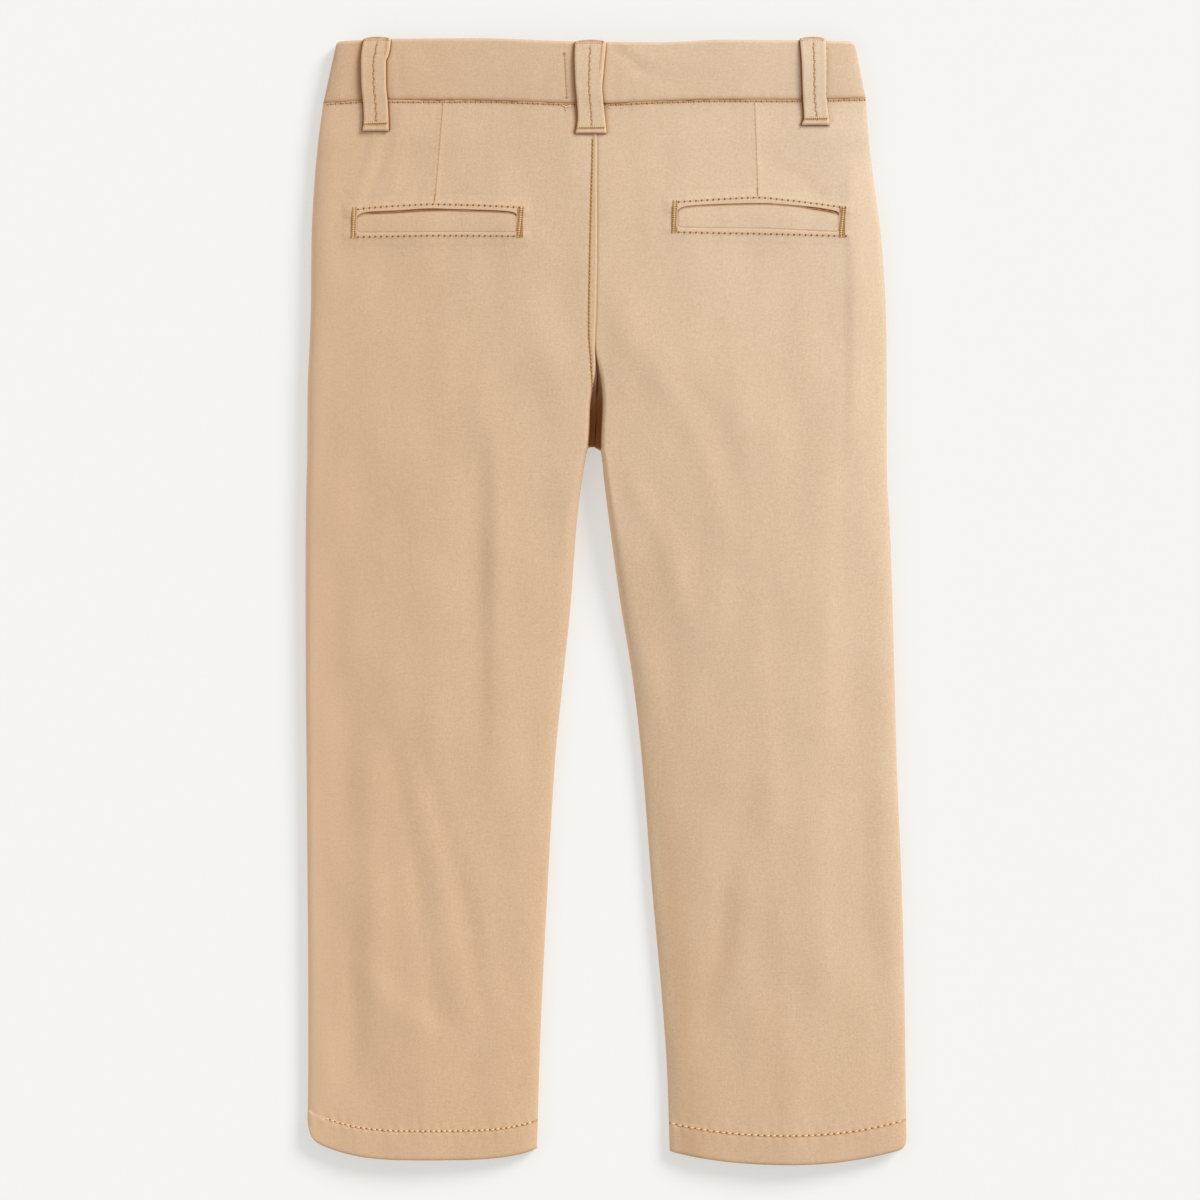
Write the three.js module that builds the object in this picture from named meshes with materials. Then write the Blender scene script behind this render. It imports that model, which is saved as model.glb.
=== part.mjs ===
// Child's chino trousers laid flat on their front, seen from the back.
// Millimetres. +X is the garment's right, +Y runs to the waist, +Z is up, and the floor is z = 0.
// Each half is a low tube: a front panel flat on the floor and a back panel arched over it.

import * as THREE from 'three';

// Cloth and seams
const SEAM_GAP = 0.3; // clear space between two pieces
const CLOTH_WALL = 1.3; // panel with its seam allowances
const HEM_WALL = 2.0; // turned-up hem, two layers
const BAND_WALL = 2.0; // waistband with its stay
const STRIP_WALL = 1.4; // belt loops, welts and button

// Heights over the floor
const SIDE_SEAM_HEIGHT = 3.0; // where front and back meet at the side
const FRONT_WAIST_LIFT = STRIP_WALL + SEAM_GAP; // the front waist lies on its loops and button
const LIFT_Y = { from: 228, to: 242 }; // the front rises onto them between these heights

// Lengths along the garment
const HEM_DEPTH = 15;
const HEM_BEND_REACH = 120; // the hem's bend has died out this far up the leg
const WAIST_SEAM_Y = 259;
const WAIST_BEND_REACH = 59; // the waist seam's waver has died out this far below it
const BAND_TOP_Y = 291;
const CROTCH_Y = 79.8;
const CROTCH_EASE = 0.8; // the legs part within this much of the crotch
const VALLEY_TOP_Y = 131; // the seat starts to dip between the legs here
const VALLEY_DEEP_Y = 103; // and has reached its floor here
const VALLEY_HALF_WIDTH = 3.2; // half of the dip's floor
const LEAST_RIM = 0.4; // width of the last strip of a panel that has no dip beside it

// Edges of the two halves, seen from above. The inner edges above the crotch are the centre seam.
const OUTLINE = [
  { y: 259.0, leftOuter: -147.2, leftInner: -4.4, rightInner: -4.4, rightOuter: 135.2 },
  { y: 239.7, leftOuter: -149.8, leftInner: -4.4, rightInner: -4.4, rightOuter: 136.8 },
  { y: 218.9, leftOuter: -151.8, leftInner: -4.5, rightInner: -4.5, rightOuter: 139.4 },
  { y: 187.7, leftOuter: -153.4, leftInner: -4.6, rightInner: -4.6, rightOuter: 143.5 },
  { y: 146.1, leftOuter: -153.9, leftInner: -4.7, rightInner: -4.7, rightOuter: 145.9 },
  { y: 114.9, leftOuter: -155.3, leftInner: -5.2, rightInner: -5.2, rightOuter: 146.2 },
  { y: 80.6, leftOuter: -155.6, leftInner: -5.9, rightInner: -5.9, rightOuter: 146.2 },
  { y: 79.0, leftOuter: -155.6, leftInner: -9.3, rightInner: -2.8, rightOuter: 146.2 },
  { y: 62.9, leftOuter: -156.0, leftInner: -12.5, rightInner: -1.0, rightOuter: 146.4 },
  { y: 42.1, leftOuter: -156.4, leftInner: -15.1, rightInner: 1.6, rightOuter: 147.7 },
  { y: 0.5, leftOuter: -156.5, leftInner: -18.2, rightInner: 7.3, rightOuter: 149.2 },
  { y: -41.1, leftOuter: -156.4, leftInner: -22.4, rightInner: 14.0, rightOuter: 150.3 },
  { y: -82.7, leftOuter: -156.0, leftInner: -26.5, rightInner: 18.7, rightOuter: 151.4 },
  { y: -145.1, leftOuter: -155.5, leftInner: -30.2, rightInner: 23.6, rightOuter: 153.9 },
  { y: -207.5, leftOuter: -155.1, leftInner: -33.3, rightInner: 29.1, rightOuter: 155.5 },
  { y: -249.1, leftOuter: -155.1, leftInner: -34.8, rightInner: 31.8, rightOuter: 156.0 },
  { y: -294.0, leftOuter: -155.6, leftInner: -36.0, rightInner: 33.2, rightOuter: 156.5 },
];

// Height of the back's crown over the floor, from waist to hem
const CROWN = [
  { y: 259, height: 14.0 },
  { y: 200, height: 16.4 },
  { y: 140, height: 16.8 },
  { y: 60, height: 15.4 },
  { y: -40, height: 13.2 },
  { y: -160, height: 11.8 },
  { y: -294, height: 10.8 },
];

// The back rises steeply over its edges and then arches slowly to its crown
const EDGE_SHARE = 0.5; // part of the rise that the edge has, the rest being the arch
const CROTCH_EDGE_SHARE = 0.92; // beside the dip nearly all of it
const ARCH_POWER = 1.4;
const SEAT_ARCH_Y = 170; // from here down the arch across half a seat becomes one across a leg
const INNER_EASE_Y = { from: 75, to: -70 }; // and here the legs' inner edges lose their steepness

// How far the roll of each edge reaches into the panel
const EDGE_ROLLS = [
  { y: 259, leftOuter: 16, leftInner: 6, rightInner: 6, rightOuter: 46 },
  { y: 130, leftOuter: 14, leftInner: 6, rightInner: 6, rightOuter: 36 },
  { y: 80, leftOuter: 10, leftInner: 6, rightInner: 6, rightOuter: 22 },
  { y: 30, leftOuter: 8, leftInner: 9, rightInner: 16, rightOuter: 16 },
  { y: -40, leftOuter: 7, leftInner: 13, rightInner: 30, rightOuter: 14 },
  { y: -150, leftOuter: 7, leftInner: 16, rightInner: 34, rightOuter: 12 },
  { y: -294, leftOuter: 7, leftInner: 14, rightInner: 24, rightOuter: 10 },
];

// Seen from above, each hem sags at its middle and rises towards its outer and inner corners
const LEGS = {
  left: { low: -290.7, outerRise: 11.4, outerPower: 3, innerRise: 5.7, innerPower: 4 },
  right: { low: -293.2, outerRise: 8.6, outerPower: 2.2, innerRise: 6.8, innerPower: 2.2 },
};

// The seam under the waistband and the band's upper edge waver a little across the back
const WAIST_LINES = [
  { x: -147, seam: 259.0, top: 290.6 },
  { x: -110, seam: 260.5, top: 292.3 },
  { x: -70, seam: 260.3, top: 292.5 },
  { x: -5, seam: 258.4, top: 290.5 },
  { x: 30, seam: 259.8, top: 290.4 },
  { x: 60, seam: 260.6, top: 291.7 },
  { x: 100, seam: 260.6, top: 291.6 },
  { x: 135, seam: 261.6, top: 290.8 },
];

// Largest soft folds of the back: a ridge is above zero and a trough below, between two ends
const FOLDS = [
  { x0: -67, y0: 62, x1: -67, y1: -88, width: 8, height: -1.4 }, // left thigh trough
  { x0: -56, y0: 68, x1: -57, y1: -60, width: 7, height: 1.3 }, // ridge beside it
  { x0: -122, y0: -100, x1: -122, y1: -200, width: 9, height: 1.1 }, // left calf ridge
  { x0: -108, y0: -93, x1: -91, y1: -207, width: 7, height: -1.0 }, // left calf troughs
  { x0: -93, y0: -93, x1: -65, y1: -207, width: 7, height: -1.0 },
  { x0: 15, y0: 131, x1: 60, y1: 40, width: 9, height: 1.1 }, // ridges out of the crotch
  { x0: 14, y0: 60, x1: 40, y1: -2, width: 8, height: 0.9 },
  { x0: 118, y0: 90, x1: 113, y1: -180, width: 11, height: 1.3 }, // right thigh ridge
  { x0: 129, y0: 205, x1: 129, y1: 94, width: 7, height: 1.2 }, // right hip ridge
  { x0: 63, y0: -152, x1: 55, y1: -204, width: 7, height: -0.9 }, // right calf trough
];
const FOLD_EDGE_CLEARANCE = 16; // folds fade out within this of a panel's edge

// The waistband narrows a little from its seam to its top, and its upper corners are rounded
const BAND = {
  seam: { left: -147.2, right: 135.2, crown: 14.5 },
  top: { left: -140.9, right: 130.0, crown: 13.7 },
  cornerRadius: 3,
};

// How finely the curved pieces are divided across
const PANEL_COLUMNS = 15;
const BAND_COLUMNS = 30;
const WELT_COLUMNS = 14;

// Belt loops, by their left and right sides and their lower and upper ends
const LOOP_ARCH = 1.4; // how far a back loop stands off at its middle
const BACK_LOOPS = [
  { name: 'loop_back_left', x0: -126.7, x1: -112.7, y0: 243.8, y1: 293.2 },
  { name: 'loop_back_centre', x0: -15.7, x1: -0.9, y0: 242.4, y1: 291.4 },
  { name: 'loop_back_right', x0: 100.5, x1: 115.3, y0: 247.0, y1: 293.2 },
];
const FRONT_LOOPS = [
  { name: 'loop_front_left', x0: -92, x1: -79, y0: 246, y1: 291 },
  { name: 'loop_front_right', x0: 66, x1: 79, y0: 246, y1: 291 },
];

// Back pocket welts, by their corners; the lower edge is the pocket's folded lip
const WELT_CLEARANCE = 0.5; // over the panel, whose facets are coarser than the welt's
const WELTS = [
  { name: 'welt_left', x0: -130.5, x1: -45.5, y0: 190.6, y1: 203.0, arch: 1.2 },
  { name: 'welt_right', x0: 35.6, x1: 121.0, y0: 192.0, y1: 205.2, arch: 1.4 },
];

// Front closing, underneath: a shield inside the opening, the closed zip, and the button
const CENTRE_FRONT_X = -4.6;
const FLY_SHIELD = { width: 34, wall: 1.2, y0: 150, y1: 288 };
const FLY_ZIP = { width: 8, wall: 1.2, y0: 158, y1: 254 };
const BUTTON = { radius: 7.5, x: -4.6, y: 275, sides: 28 };

const CHINO = { color: 0xd9b791, roughness: 0.85, metalness: 0 };
const WELT_CLOTH = { color: 0xdcbb96, roughness: 0.85, metalness: 0 };
const ZIP_TAPE = { color: 0xbf9d74, roughness: 0.7, metalness: 0 };
const HORN_BUTTON = { color: 0x8a6a48, roughness: 0.45, metalness: 0 };

const clamp01 = (value) => Math.min(1, Math.max(0, value));
const mix = (a, b, share) => a + (b - a) * share;

/** Share from 0 to 1 that starts and ends gently as value goes from start to end. */
function ease(value, start, end) {
  const share = clamp01((value - start) / (end - start));
  return share * share * (3 - 2 * share);
}

/** Value of a table's column at a place, by a smooth curve through its rows that never overshoots them. */
function read(rows, place, column, at) {
  const last = rows.length - 1;
  const rising = rows[last][place] > rows[0][place];
  const passed = (row) => (rising ? row[place] <= at : row[place] >= at);
  let i = 0;
  while (i < last - 1 && passed(rows[i + 1])) {
    i += 1;
  }
  const secant = (k) => (rows[k + 1][column] - rows[k][column]) / (rows[k + 1][place] - rows[k][place]);
  const slope = (k) => {
    const before = secant(Math.max(0, k - 1));
    const after = secant(Math.min(last - 1, k));
    return before * after > 0 ? (2 * before * after) / (before + after) : 0;
  };
  const start = rows[i];
  const end = rows[i + 1];
  const span = end[place] - start[place];
  const t = clamp01((at - start[place]) / span);
  const startWeight = (1 + 2 * t) * (1 - t) * (1 - t);
  const endWeight = t * t * (3 - 2 * t);
  const startSlope = t * (1 - t) * (1 - t) * span * slope(i);
  const endSlope = t * t * (t - 1) * span * slope(i + 1);
  return startWeight * start[column] + endWeight * end[column] + startSlope + endSlope;
}

/** Profile of a rounded edge: 0 at the edge, 1 once the crown is reached. */
function edgeRound(share) {
  const left = 1 - clamp01(share);
  return Math.pow(1 - left * left * left, 1 / 3);
}

/** A slow arch: 0 at the edge, 1 at the crown. */
const archTo = (share) => 1 - Math.pow(1 - clamp01(share), ARCH_POWER);

/** The two edges of one half at a height along the garment. */
function edgesOf(side, y) {
  const outer = read(OUTLINE, 'y', `${side}Outer`, y);
  const inner = read(OUTLINE, 'y', `${side}Inner`, y);
  return { outer, inner, toInner: Math.sign(inner - outer), width: Math.abs(inner - outer) };
}

const frontLift = (y) => FRONT_WAIST_LIFT * ease(y, LIFT_Y.from, LIFT_Y.to);
const seamHeight = (y) => SIDE_SEAM_HEIGHT + frontLift(y);
const valleyDepth = (y) => ease(y, VALLEY_TOP_Y, VALLEY_DEEP_Y);
const legsParted = (y) => ease(y, CROTCH_Y + CROTCH_EASE, CROTCH_Y - CROTCH_EASE);
const valleyFloor = (y) => VALLEY_HALF_WIDTH * valleyDepth(y) * (1 - legsParted(y));

/** Height that the folds add at a point of the back. */
function foldHeight(x, y) {
  let sum = 0;
  for (const fold of FOLDS) {
    const alongX = fold.x1 - fold.x0;
    const alongY = fold.y1 - fold.y0;
    const lengthSquared = alongX * alongX + alongY * alongY;
    const t = clamp01(((x - fold.x0) * alongX + (y - fold.y0) * alongY) / lengthSquared);
    const away = Math.hypot(x - fold.x0 - t * alongX, (y - fold.y0 - t * alongY) / 2);
    sum += fold.height * Math.exp(-((away / fold.width) ** 2));
  }
  return sum;
}

/** Height of the back panel: wall 0 gives its outer face, a thickness gives its inner face. */
function backHeight(side, x, y, wall) {
  const edges = edgesOf(side, y);
  const fromOuter = edges.toInner * (x - edges.outer) - wall;
  const valley = valleyDepth(y);
  const fromInner = edges.toInner * (edges.inner - x) - valleyFloor(y) - wall * valley;
  const outerReach = mix(edges.width, edges.width / 2, ease(y, SEAT_ARCH_Y, CROTCH_Y)) - wall;
  const innerReach = edges.width / 2 - wall;
  const outerRoll = read(EDGE_ROLLS, 'y', `${side}Outer`, y) - wall;
  const innerRoll = read(EDGE_ROLLS, 'y', `${side}Inner`, y) - wall;
  const steepness = ease(y, INNER_EASE_Y.to, INNER_EASE_Y.from);
  const innerShare = mix(EDGE_SHARE, CROTCH_EDGE_SHARE, steepness);
  const outerRound = mix(archTo(fromOuter / outerReach), edgeRound(fromOuter / outerRoll), EDGE_SHARE);
  const innerRound = mix(archTo(fromInner / innerReach), edgeRound(fromInner / innerRoll), innerShare);
  const base = seamHeight(y) + SEAM_GAP / 2;
  const rise = read(CROWN, 'y', 'height', y) - wall - base;
  const valleyShare = 1 - valley * (1 - innerRound);
  const underFloor = wall * valley * (1 - innerRound) * (1 - legsParted(y));
  const outerFade = ease(fromOuter, 0, FOLD_EDGE_CLEARANCE);
  const innerFade = mix(1, ease(fromInner, 0, FOLD_EDGE_CLEARANCE), valley);
  const folds = foldHeight(x, y) * outerFade * innerFade;
  return base + rise * outerRound * valleyShare - underFloor + folds;
}

/** How far a point moves along the garment, because the hem and the waist seam aren't straight. */
function bend(side, x, y) {
  const edges = edgesOf(side, y);
  const leg = LEGS[side];
  const across = (2 * edges.toInner * (x - edges.outer)) / edges.width - 1;
  const nearOuter = leg.outerRise * Math.abs(across) ** leg.outerPower;
  const nearInner = leg.innerRise * Math.abs(across) ** leg.innerPower;
  const hem = (across < 0 ? nearOuter : nearInner) * ease(y, leg.low + HEM_BEND_REACH, leg.low);
  const waver = read(WAIST_LINES, 'x', 'seam', x) - WAIST_SEAM_Y;
  const waist = waver * ease(y, WAIST_SEAM_Y - WAIST_BEND_REACH, WAIST_SEAM_Y);
  return hem + waist;
}

/** Heights of the rings of one half, closer together where its form changes quickly. */
function ringsOf(side) {
  const low = LEGS[side].low;
  const hem = [0, 7, HEM_DEPTH - 0.6, HEM_DEPTH + 0.6, 30].map((step) => low + step);
  const leg = [-232, -204, -176, -148, -120, -92, -64, -36, -10, 16, 38, 55, 67, 75, 78.2];
  const crotch = [CROTCH_Y - CROTCH_EASE, CROTCH_Y, CROTCH_Y + CROTCH_EASE];
  const seat = [84, 94, 103, 109, 115, 121, 127, 133, 150, 172, 189, 206, 228, 235, 242, 251];
  return [...hem, ...leg, ...crotch, ...seat, WAIST_SEAM_Y - SEAM_GAP / 2];
}

const wallAt = (side, y) => (y < LEGS[side].low + HEM_DEPTH ? HEM_WALL : CLOTH_WALL);

/** Closes two like grids of points, an upper and a lower one, into one wall with rims. */
function wallBetween(upper, lower) {
  const rows = upper.length;
  const columns = upper[0].length;
  const points = [...upper.flat(), ...lower.flat()];
  const under = rows * columns;
  const indices = [];
  const quad = (a, b, c, d) => indices.push(a, b, c, a, c, d);
  for (let r = 0; r < rows - 1; r += 1) {
    for (let c = 0; c < columns - 1; c += 1) {
      const at = r * columns + c;
      quad(at, at + 1, at + columns + 1, at + columns);
      quad(under + at, under + at + columns, under + at + columns + 1, under + at + 1);
    }
  }
  const end = (rows - 1) * columns;
  for (let c = 0; c < columns - 1; c += 1) {
    quad(c, under + c, under + c + 1, c + 1);
    quad(end + c, end + c + 1, under + end + c + 1, under + end + c);
  }
  for (let r = 0; r < rows - 1; r += 1) {
    const at = r * columns;
    const to = at + columns - 1;
    quad(at, at + columns, under + at + columns, under + at);
    quad(to, under + to, under + to + columns, to + columns);
  }
  const geometry = new THREE.BufferGeometry();
  geometry.setAttribute('position', new THREE.Float32BufferAttribute(points.flat(), 3));
  geometry.setIndex(indices);
  geometry.computeVertexNormals();
  return geometry;
}

function piece(name, geometry, finish) {
  const mesh = new THREE.Mesh(geometry, new THREE.MeshStandardMaterial(finish));
  mesh.name = name;
  return mesh;
}

/** Shares across a panel, close together at both edges where it rolls over. */
function crossShares(count) {
  return Array.from({ length: count + 1 }, (_, i) => (1 - Math.cos((Math.PI * i) / count)) / 2);
}

/** Grid rows read from left to right, whichever way a half runs, so that faces point outwards. */
function leftToRight(rows) {
  return rows.map((row) => [...row].sort((a, b) => a[0] - b[0]));
}

/** A back panel: its columns run from the side seam to the dip's edge, and one more lies on the seam. */
function backPanel(side) {
  const face = (isInner) => ringsOf(side).map((y) => {
    const edges = edgesOf(side, y);
    const wall = isInner ? wallAt(side, y) : 0;
    const parted = legsParted(y);
    const rim = Math.max(valleyFloor(y), LEAST_RIM) + wall * valleyDepth(y);
    const seamInset = (SEAM_GAP / 2) * (1 - parted) + wall * valleyDepth(y) * parted;
    const across = crossShares(PANEL_COLUMNS).map((share) => wall + (edges.width - wall - rim) * share);
    return [...across, edges.width - seamInset].map((distance) => {
      const x = edges.outer + edges.toInner * distance;
      return [x, y + bend(side, x, y), backHeight(side, x, y, wall)];
    });
  });
  return wallBetween(leftToRight(face(false)), leftToRight(face(true)));
}

/** A front panel: flat on the floor, with its side and inside-leg edges turned up to the seams. */
function frontPanel(side) {
  const rise = SIDE_SEAM_HEIGHT - SEAM_GAP / 2;
  const turns = [0, 1, 2, 3].map((step) => (Math.PI / 2) * (step / 3));
  const face = (isInner) => ringsOf(side).map((y) => {
    const edges = edgesOf(side, y);
    const parted = legsParted(y);
    const wall = isInner ? wallAt(side, y) : 0;
    const lift = frontLift(y);
    const seamInset = (SEAM_GAP / 2) * (1 - parted);
    const edgePoint = (turn, edge, toMiddle, curl, inset) => {
      const along = inset + wall * curl + (SIDE_SEAM_HEIGHT - wall * curl) * (1 - Math.cos(turn));
      const up = curl * (1 - Math.sin(turn));
      const x = edge + toMiddle * along;
      return [x, y + bend(side, x, y), lift + rise * up + wall * (1 - up)];
    };
    const outerTurn = turns.map((turn) => edgePoint(turn, edges.outer, edges.toInner, 1, 0));
    const innerTurn = turns.map((turn) => edgePoint(turn, edges.inner, -edges.toInner, parted, seamInset));
    const from = outerTurn[3][0];
    const to = innerTurn[3][0];
    const middle = [0.25, 0.5, 0.75].map((share) => {
      const x = mix(from, to, share);
      return [x, y + bend(side, x, y), lift + wall];
    });
    return [...outerTurn, ...middle, ...innerTurn.reverse()];
  });
  return wallBetween(leftToRight(face(true)), leftToRight(face(false)));
}

const sideOf = (x) => (x < CENTRE_FRONT_X ? 'left' : 'right');

/** Ends of the waistband, drawn in towards its upper corners. */
function bandEnds(share) {
  const { seam, top } = BAND;
  return { left: mix(seam.left, top.left, share), right: mix(seam.right, top.right, share) };
}

/** Height of the waistband's back: the panel's crown under it, a little lower at its top. */
function bandHeight(x, share, wall) {
  const ends = bandEnds(share);
  const half = (ends.right - ends.left) / 2;
  const fromSide = Math.min(x - ends.left, ends.right - x) - wall;
  const waistRolls = EDGE_ROLLS[0];
  const roll = (sideOf(x) === 'left' ? waistRolls.leftOuter : waistRolls.rightOuter) - wall;
  const base = SIDE_SEAM_HEIGHT + FRONT_WAIST_LIFT + SEAM_GAP / 2;
  const crown = mix(BAND.seam.crown, BAND.top.crown, share) - wall - base;
  return base + crown * mix(archTo(fromSide / (half - wall)), edgeRound(fromSide / roll), EDGE_SHARE);
}

/** Lengthways place of a waistband point; its upper corners are rounded. */
function bandY(x, share) {
  const ends = bandEnds(1);
  const radius = BAND.cornerRadius;
  const fromSide = Math.min(x - ends.left, ends.right - x);
  const short = Math.max(0, radius - Math.max(0, fromSide));
  const corner = radius - Math.sqrt(Math.max(0, radius * radius - short * short));
  const bottom = read(WAIST_LINES, 'x', 'seam', x) + SEAM_GAP / 2;
  const top = read(WAIST_LINES, 'x', 'top', x) - corner;
  return mix(bottom, top, share);
}

function backBand() {
  const heights = [0, 0.33, 0.67, 1];
  const face = (wall) => heights.map((share) => {
    const ends = bandEnds(share);
    return crossShares(BAND_COLUMNS).map((across) => {
      const x = mix(ends.left + wall, ends.right - wall, across);
      return [x, bandY(x, share), bandHeight(x, share, wall)];
    });
  });
  return wallBetween(face(0), face(BAND_WALL));
}

/** One front stretch of the waistband, from a side seam to the centre front. */
function frontBand(side) {
  const rise = SIDE_SEAM_HEIGHT - SEAM_GAP / 2;
  const toInner = side === 'left' ? 1 : -1;
  const turns = [0, 1, 2, 3].map((step) => (Math.PI / 2) * (step / 3));
  const centre = CENTRE_FRONT_X - (toInner * SEAM_GAP) / 2;
  const face = (wall) => [0, 0.5, 1].map((share) => {
    const outer = bandEnds(share)[side];
    const turned = turns.map((turn) => {
      const x = outer + toInner * (wall + (SIDE_SEAM_HEIGHT - wall) * (1 - Math.cos(turn)));
      const up = 1 - Math.sin(turn);
      return [x, bandY(x, share), FRONT_WAIST_LIFT + rise * up + wall * (1 - up)];
    });
    const flat = [0.2, 0.4, 0.6, 0.8, 1].map((part) => {
      const x = mix(turned[3][0], centre, part);
      return [x, bandY(x, share), FRONT_WAIST_LIFT + wall];
    });
    return [...turned, ...flat];
  });
  return wallBetween(leftToRight(face(BAND_WALL)), leftToRight(face(0)));
}

/** Outer face of the back anywhere on it, waistband included. */
function outsideHeight(x, y) {
  const seam = read(WAIST_LINES, 'x', 'seam', x);
  if (y > seam - 1) {
    return bandHeight(x, clamp01((y - seam) / (BAND_TOP_Y - seam)), 0);
  }
  return backHeight(sideOf(x), x, y - bend(sideOf(x), x, y), 0);
}

/** A belt loop over the back: it clears the cloth below it and bows away between its ends. */
function backLoop(loop) {
  const steps = [0, 0.08, 0.2, 0.32, 0.44, 0.56, 0.68, 0.8, 0.92, 1];
  const face = (raise) => steps.map((step) => [0, 1 / 3, 2 / 3, 1].map((across) => {
    const x = mix(loop.x0, loop.x1, across);
    const y = mix(loop.y0, loop.y1, step);
    const stepOver = Math.max(outsideHeight(x, y), outsideHeight(x, y + 4), outsideHeight(x, y - 4));
    return [x, y, stepOver + SEAM_GAP + LOOP_ARCH * 4 * step * (1 - step) + raise];
  }));
  return wallBetween(face(STRIP_WALL), face(0));
}

/** A pocket welt on the back panel, made from the panel's points and moved out. */
function welt(pocket) {
  const side = sideOf(pocket.x0);
  const face = (raise) => [0, 0.5, 1].map((up) => crossShares(WELT_COLUMNS).map((across) => {
    const x = mix(pocket.x0, pocket.x1, across);
    const arch = pocket.arch * 4 * across * (1 - across);
    const y = mix(pocket.y0, pocket.y1, up) + arch;
    return [x, y, backHeight(side, x, y - bend(side, x, y), 0) + raise];
  }));
  return wallBetween(face(WELT_CLEARANCE + STRIP_WALL), face(WELT_CLEARANCE));
}

/** A strip inside the fly, made from the front's points and moved up by its clearance. */
function flyStrip(strip, clearance) {
  const between = ringsOf('left').filter((y) => y > strip.y0 + 1 && y < strip.y1 - 1);
  const from = CENTRE_FRONT_X - strip.width / 2;
  const to = CENTRE_FRONT_X + strip.width / 2;
  const face = (raise) => [strip.y0, ...between, strip.y1].map((y) => [from, to].map((x) => (
    [x, y + bend(sideOf(x), x, y), frontLift(y) + clearance + raise]
  )));
  return wallBetween(face(strip.wall), face(0));
}

/** A belt loop under the front waist, flat on the floor. */
function frontLoop(loop) {
  const face = (height) => [loop.y0, loop.y1].map((y) => [loop.x0, loop.x1].map((x) => [x, y, height]));
  return wallBetween(face(STRIP_WALL), face(0));
}

/** The waist button under the band: a disc with a raised rim. */
function waistButton() {
  const rim = BUTTON.radius * 0.78;
  const profile = [
    [0, 0.5],
    [rim * 0.8, 0.5],
    [rim, 0],
    [BUTTON.radius - 0.4, 0],
    [BUTTON.radius, 0.5],
    [BUTTON.radius - 0.3, STRIP_WALL],
    [0, STRIP_WALL],
  ].map(([radius, height]) => new THREE.Vector2(radius, height));
  const geometry = new THREE.LatheGeometry(profile, BUTTON.sides);
  geometry.rotateX(Math.PI / 2);
  return geometry;
}

const group = new THREE.Group();
for (const side of ['left', 'right']) {
  group.add(piece(`back_${side}`, backPanel(side), CHINO));
  group.add(piece(`front_${side}`, frontPanel(side), CHINO));
  group.add(piece(`waistband_front_${side}`, frontBand(side), CHINO));
}
group.add(piece('waistband_back', backBand(), CHINO));
for (const loop of BACK_LOOPS) {
  group.add(piece(loop.name, backLoop(loop), CHINO));
}
for (const loop of FRONT_LOOPS) {
  group.add(piece(loop.name, frontLoop(loop), CHINO));
}
for (const pocket of WELTS) {
  group.add(piece(pocket.name, welt(pocket), WELT_CLOTH));
}
const aboveFront = CLOTH_WALL + SEAM_GAP;
const aboveZip = aboveFront + FLY_ZIP.wall + SEAM_GAP;
group.add(piece('fly_zip', flyStrip(FLY_ZIP, aboveFront), ZIP_TAPE));
group.add(piece('fly_shield', flyStrip(FLY_SHIELD, aboveZip), CHINO));
const button = piece('waist_button', waistButton(), HORN_BUTTON);
button.position.set(BUTTON.x, BUTTON.y, 0);
group.add(button);

export default group;
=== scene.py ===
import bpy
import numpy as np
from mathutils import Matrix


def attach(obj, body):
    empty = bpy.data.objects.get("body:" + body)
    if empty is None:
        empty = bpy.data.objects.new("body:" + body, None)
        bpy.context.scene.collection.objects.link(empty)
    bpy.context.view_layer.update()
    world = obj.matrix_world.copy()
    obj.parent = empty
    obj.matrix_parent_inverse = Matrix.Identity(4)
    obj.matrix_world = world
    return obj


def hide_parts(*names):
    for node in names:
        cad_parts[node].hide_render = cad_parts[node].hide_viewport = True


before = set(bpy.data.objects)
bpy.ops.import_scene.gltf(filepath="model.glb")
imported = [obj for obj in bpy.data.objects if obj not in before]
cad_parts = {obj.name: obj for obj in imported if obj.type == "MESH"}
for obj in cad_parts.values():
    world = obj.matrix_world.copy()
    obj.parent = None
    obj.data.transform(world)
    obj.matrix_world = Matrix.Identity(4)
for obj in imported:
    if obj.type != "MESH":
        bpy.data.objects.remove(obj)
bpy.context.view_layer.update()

# Child's chino trousers laid flat on their front, seen from the back.
# Shapes are worked out in millimetres, in the frame's axes, and become metres when a mesh is made.

MM = 0.001
PI = np.pi


def table(columns, *rows):
    """A short table: each column by its name, a row for each section."""
    return {name: np.array([row[i] for row in rows], float) for i, name in enumerate(columns)}


# Camera and light

PHOTO_WIDTH = 624.0  # what the picture's 1200 pixels span at the cloth
PHOTO_CENTRE = (-3.1, 0.5)
CLOTH_MEAN_HEIGHT = 10.0
CAMERA_HEIGHT = 4000.0
SENSOR_WIDTH = 36.0
# Lamps: where each shines from, how many degrees wide it is, its strength and its tint
LAMPS = {
    "key": ((1.5, 1.35, 1.2), 24, 2.75, (1.0, 0.99, 0.97)),
    "fill": ((-1.6, -0.5, 1.5), 50, 0.55, (0.98, 0.99, 1.0)),
}
SKY_COLOUR = (1.0, 0.99, 0.98)
SKY_STRENGTH = 0.5
FLOOR_COLOUR = (0.43, 0.4275, 0.4225)
FLOOR_GLOW = (0.451, 0.447, 0.4345)
FLOOR_HALF = 6.0  # metres from its middle to its edges


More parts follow.
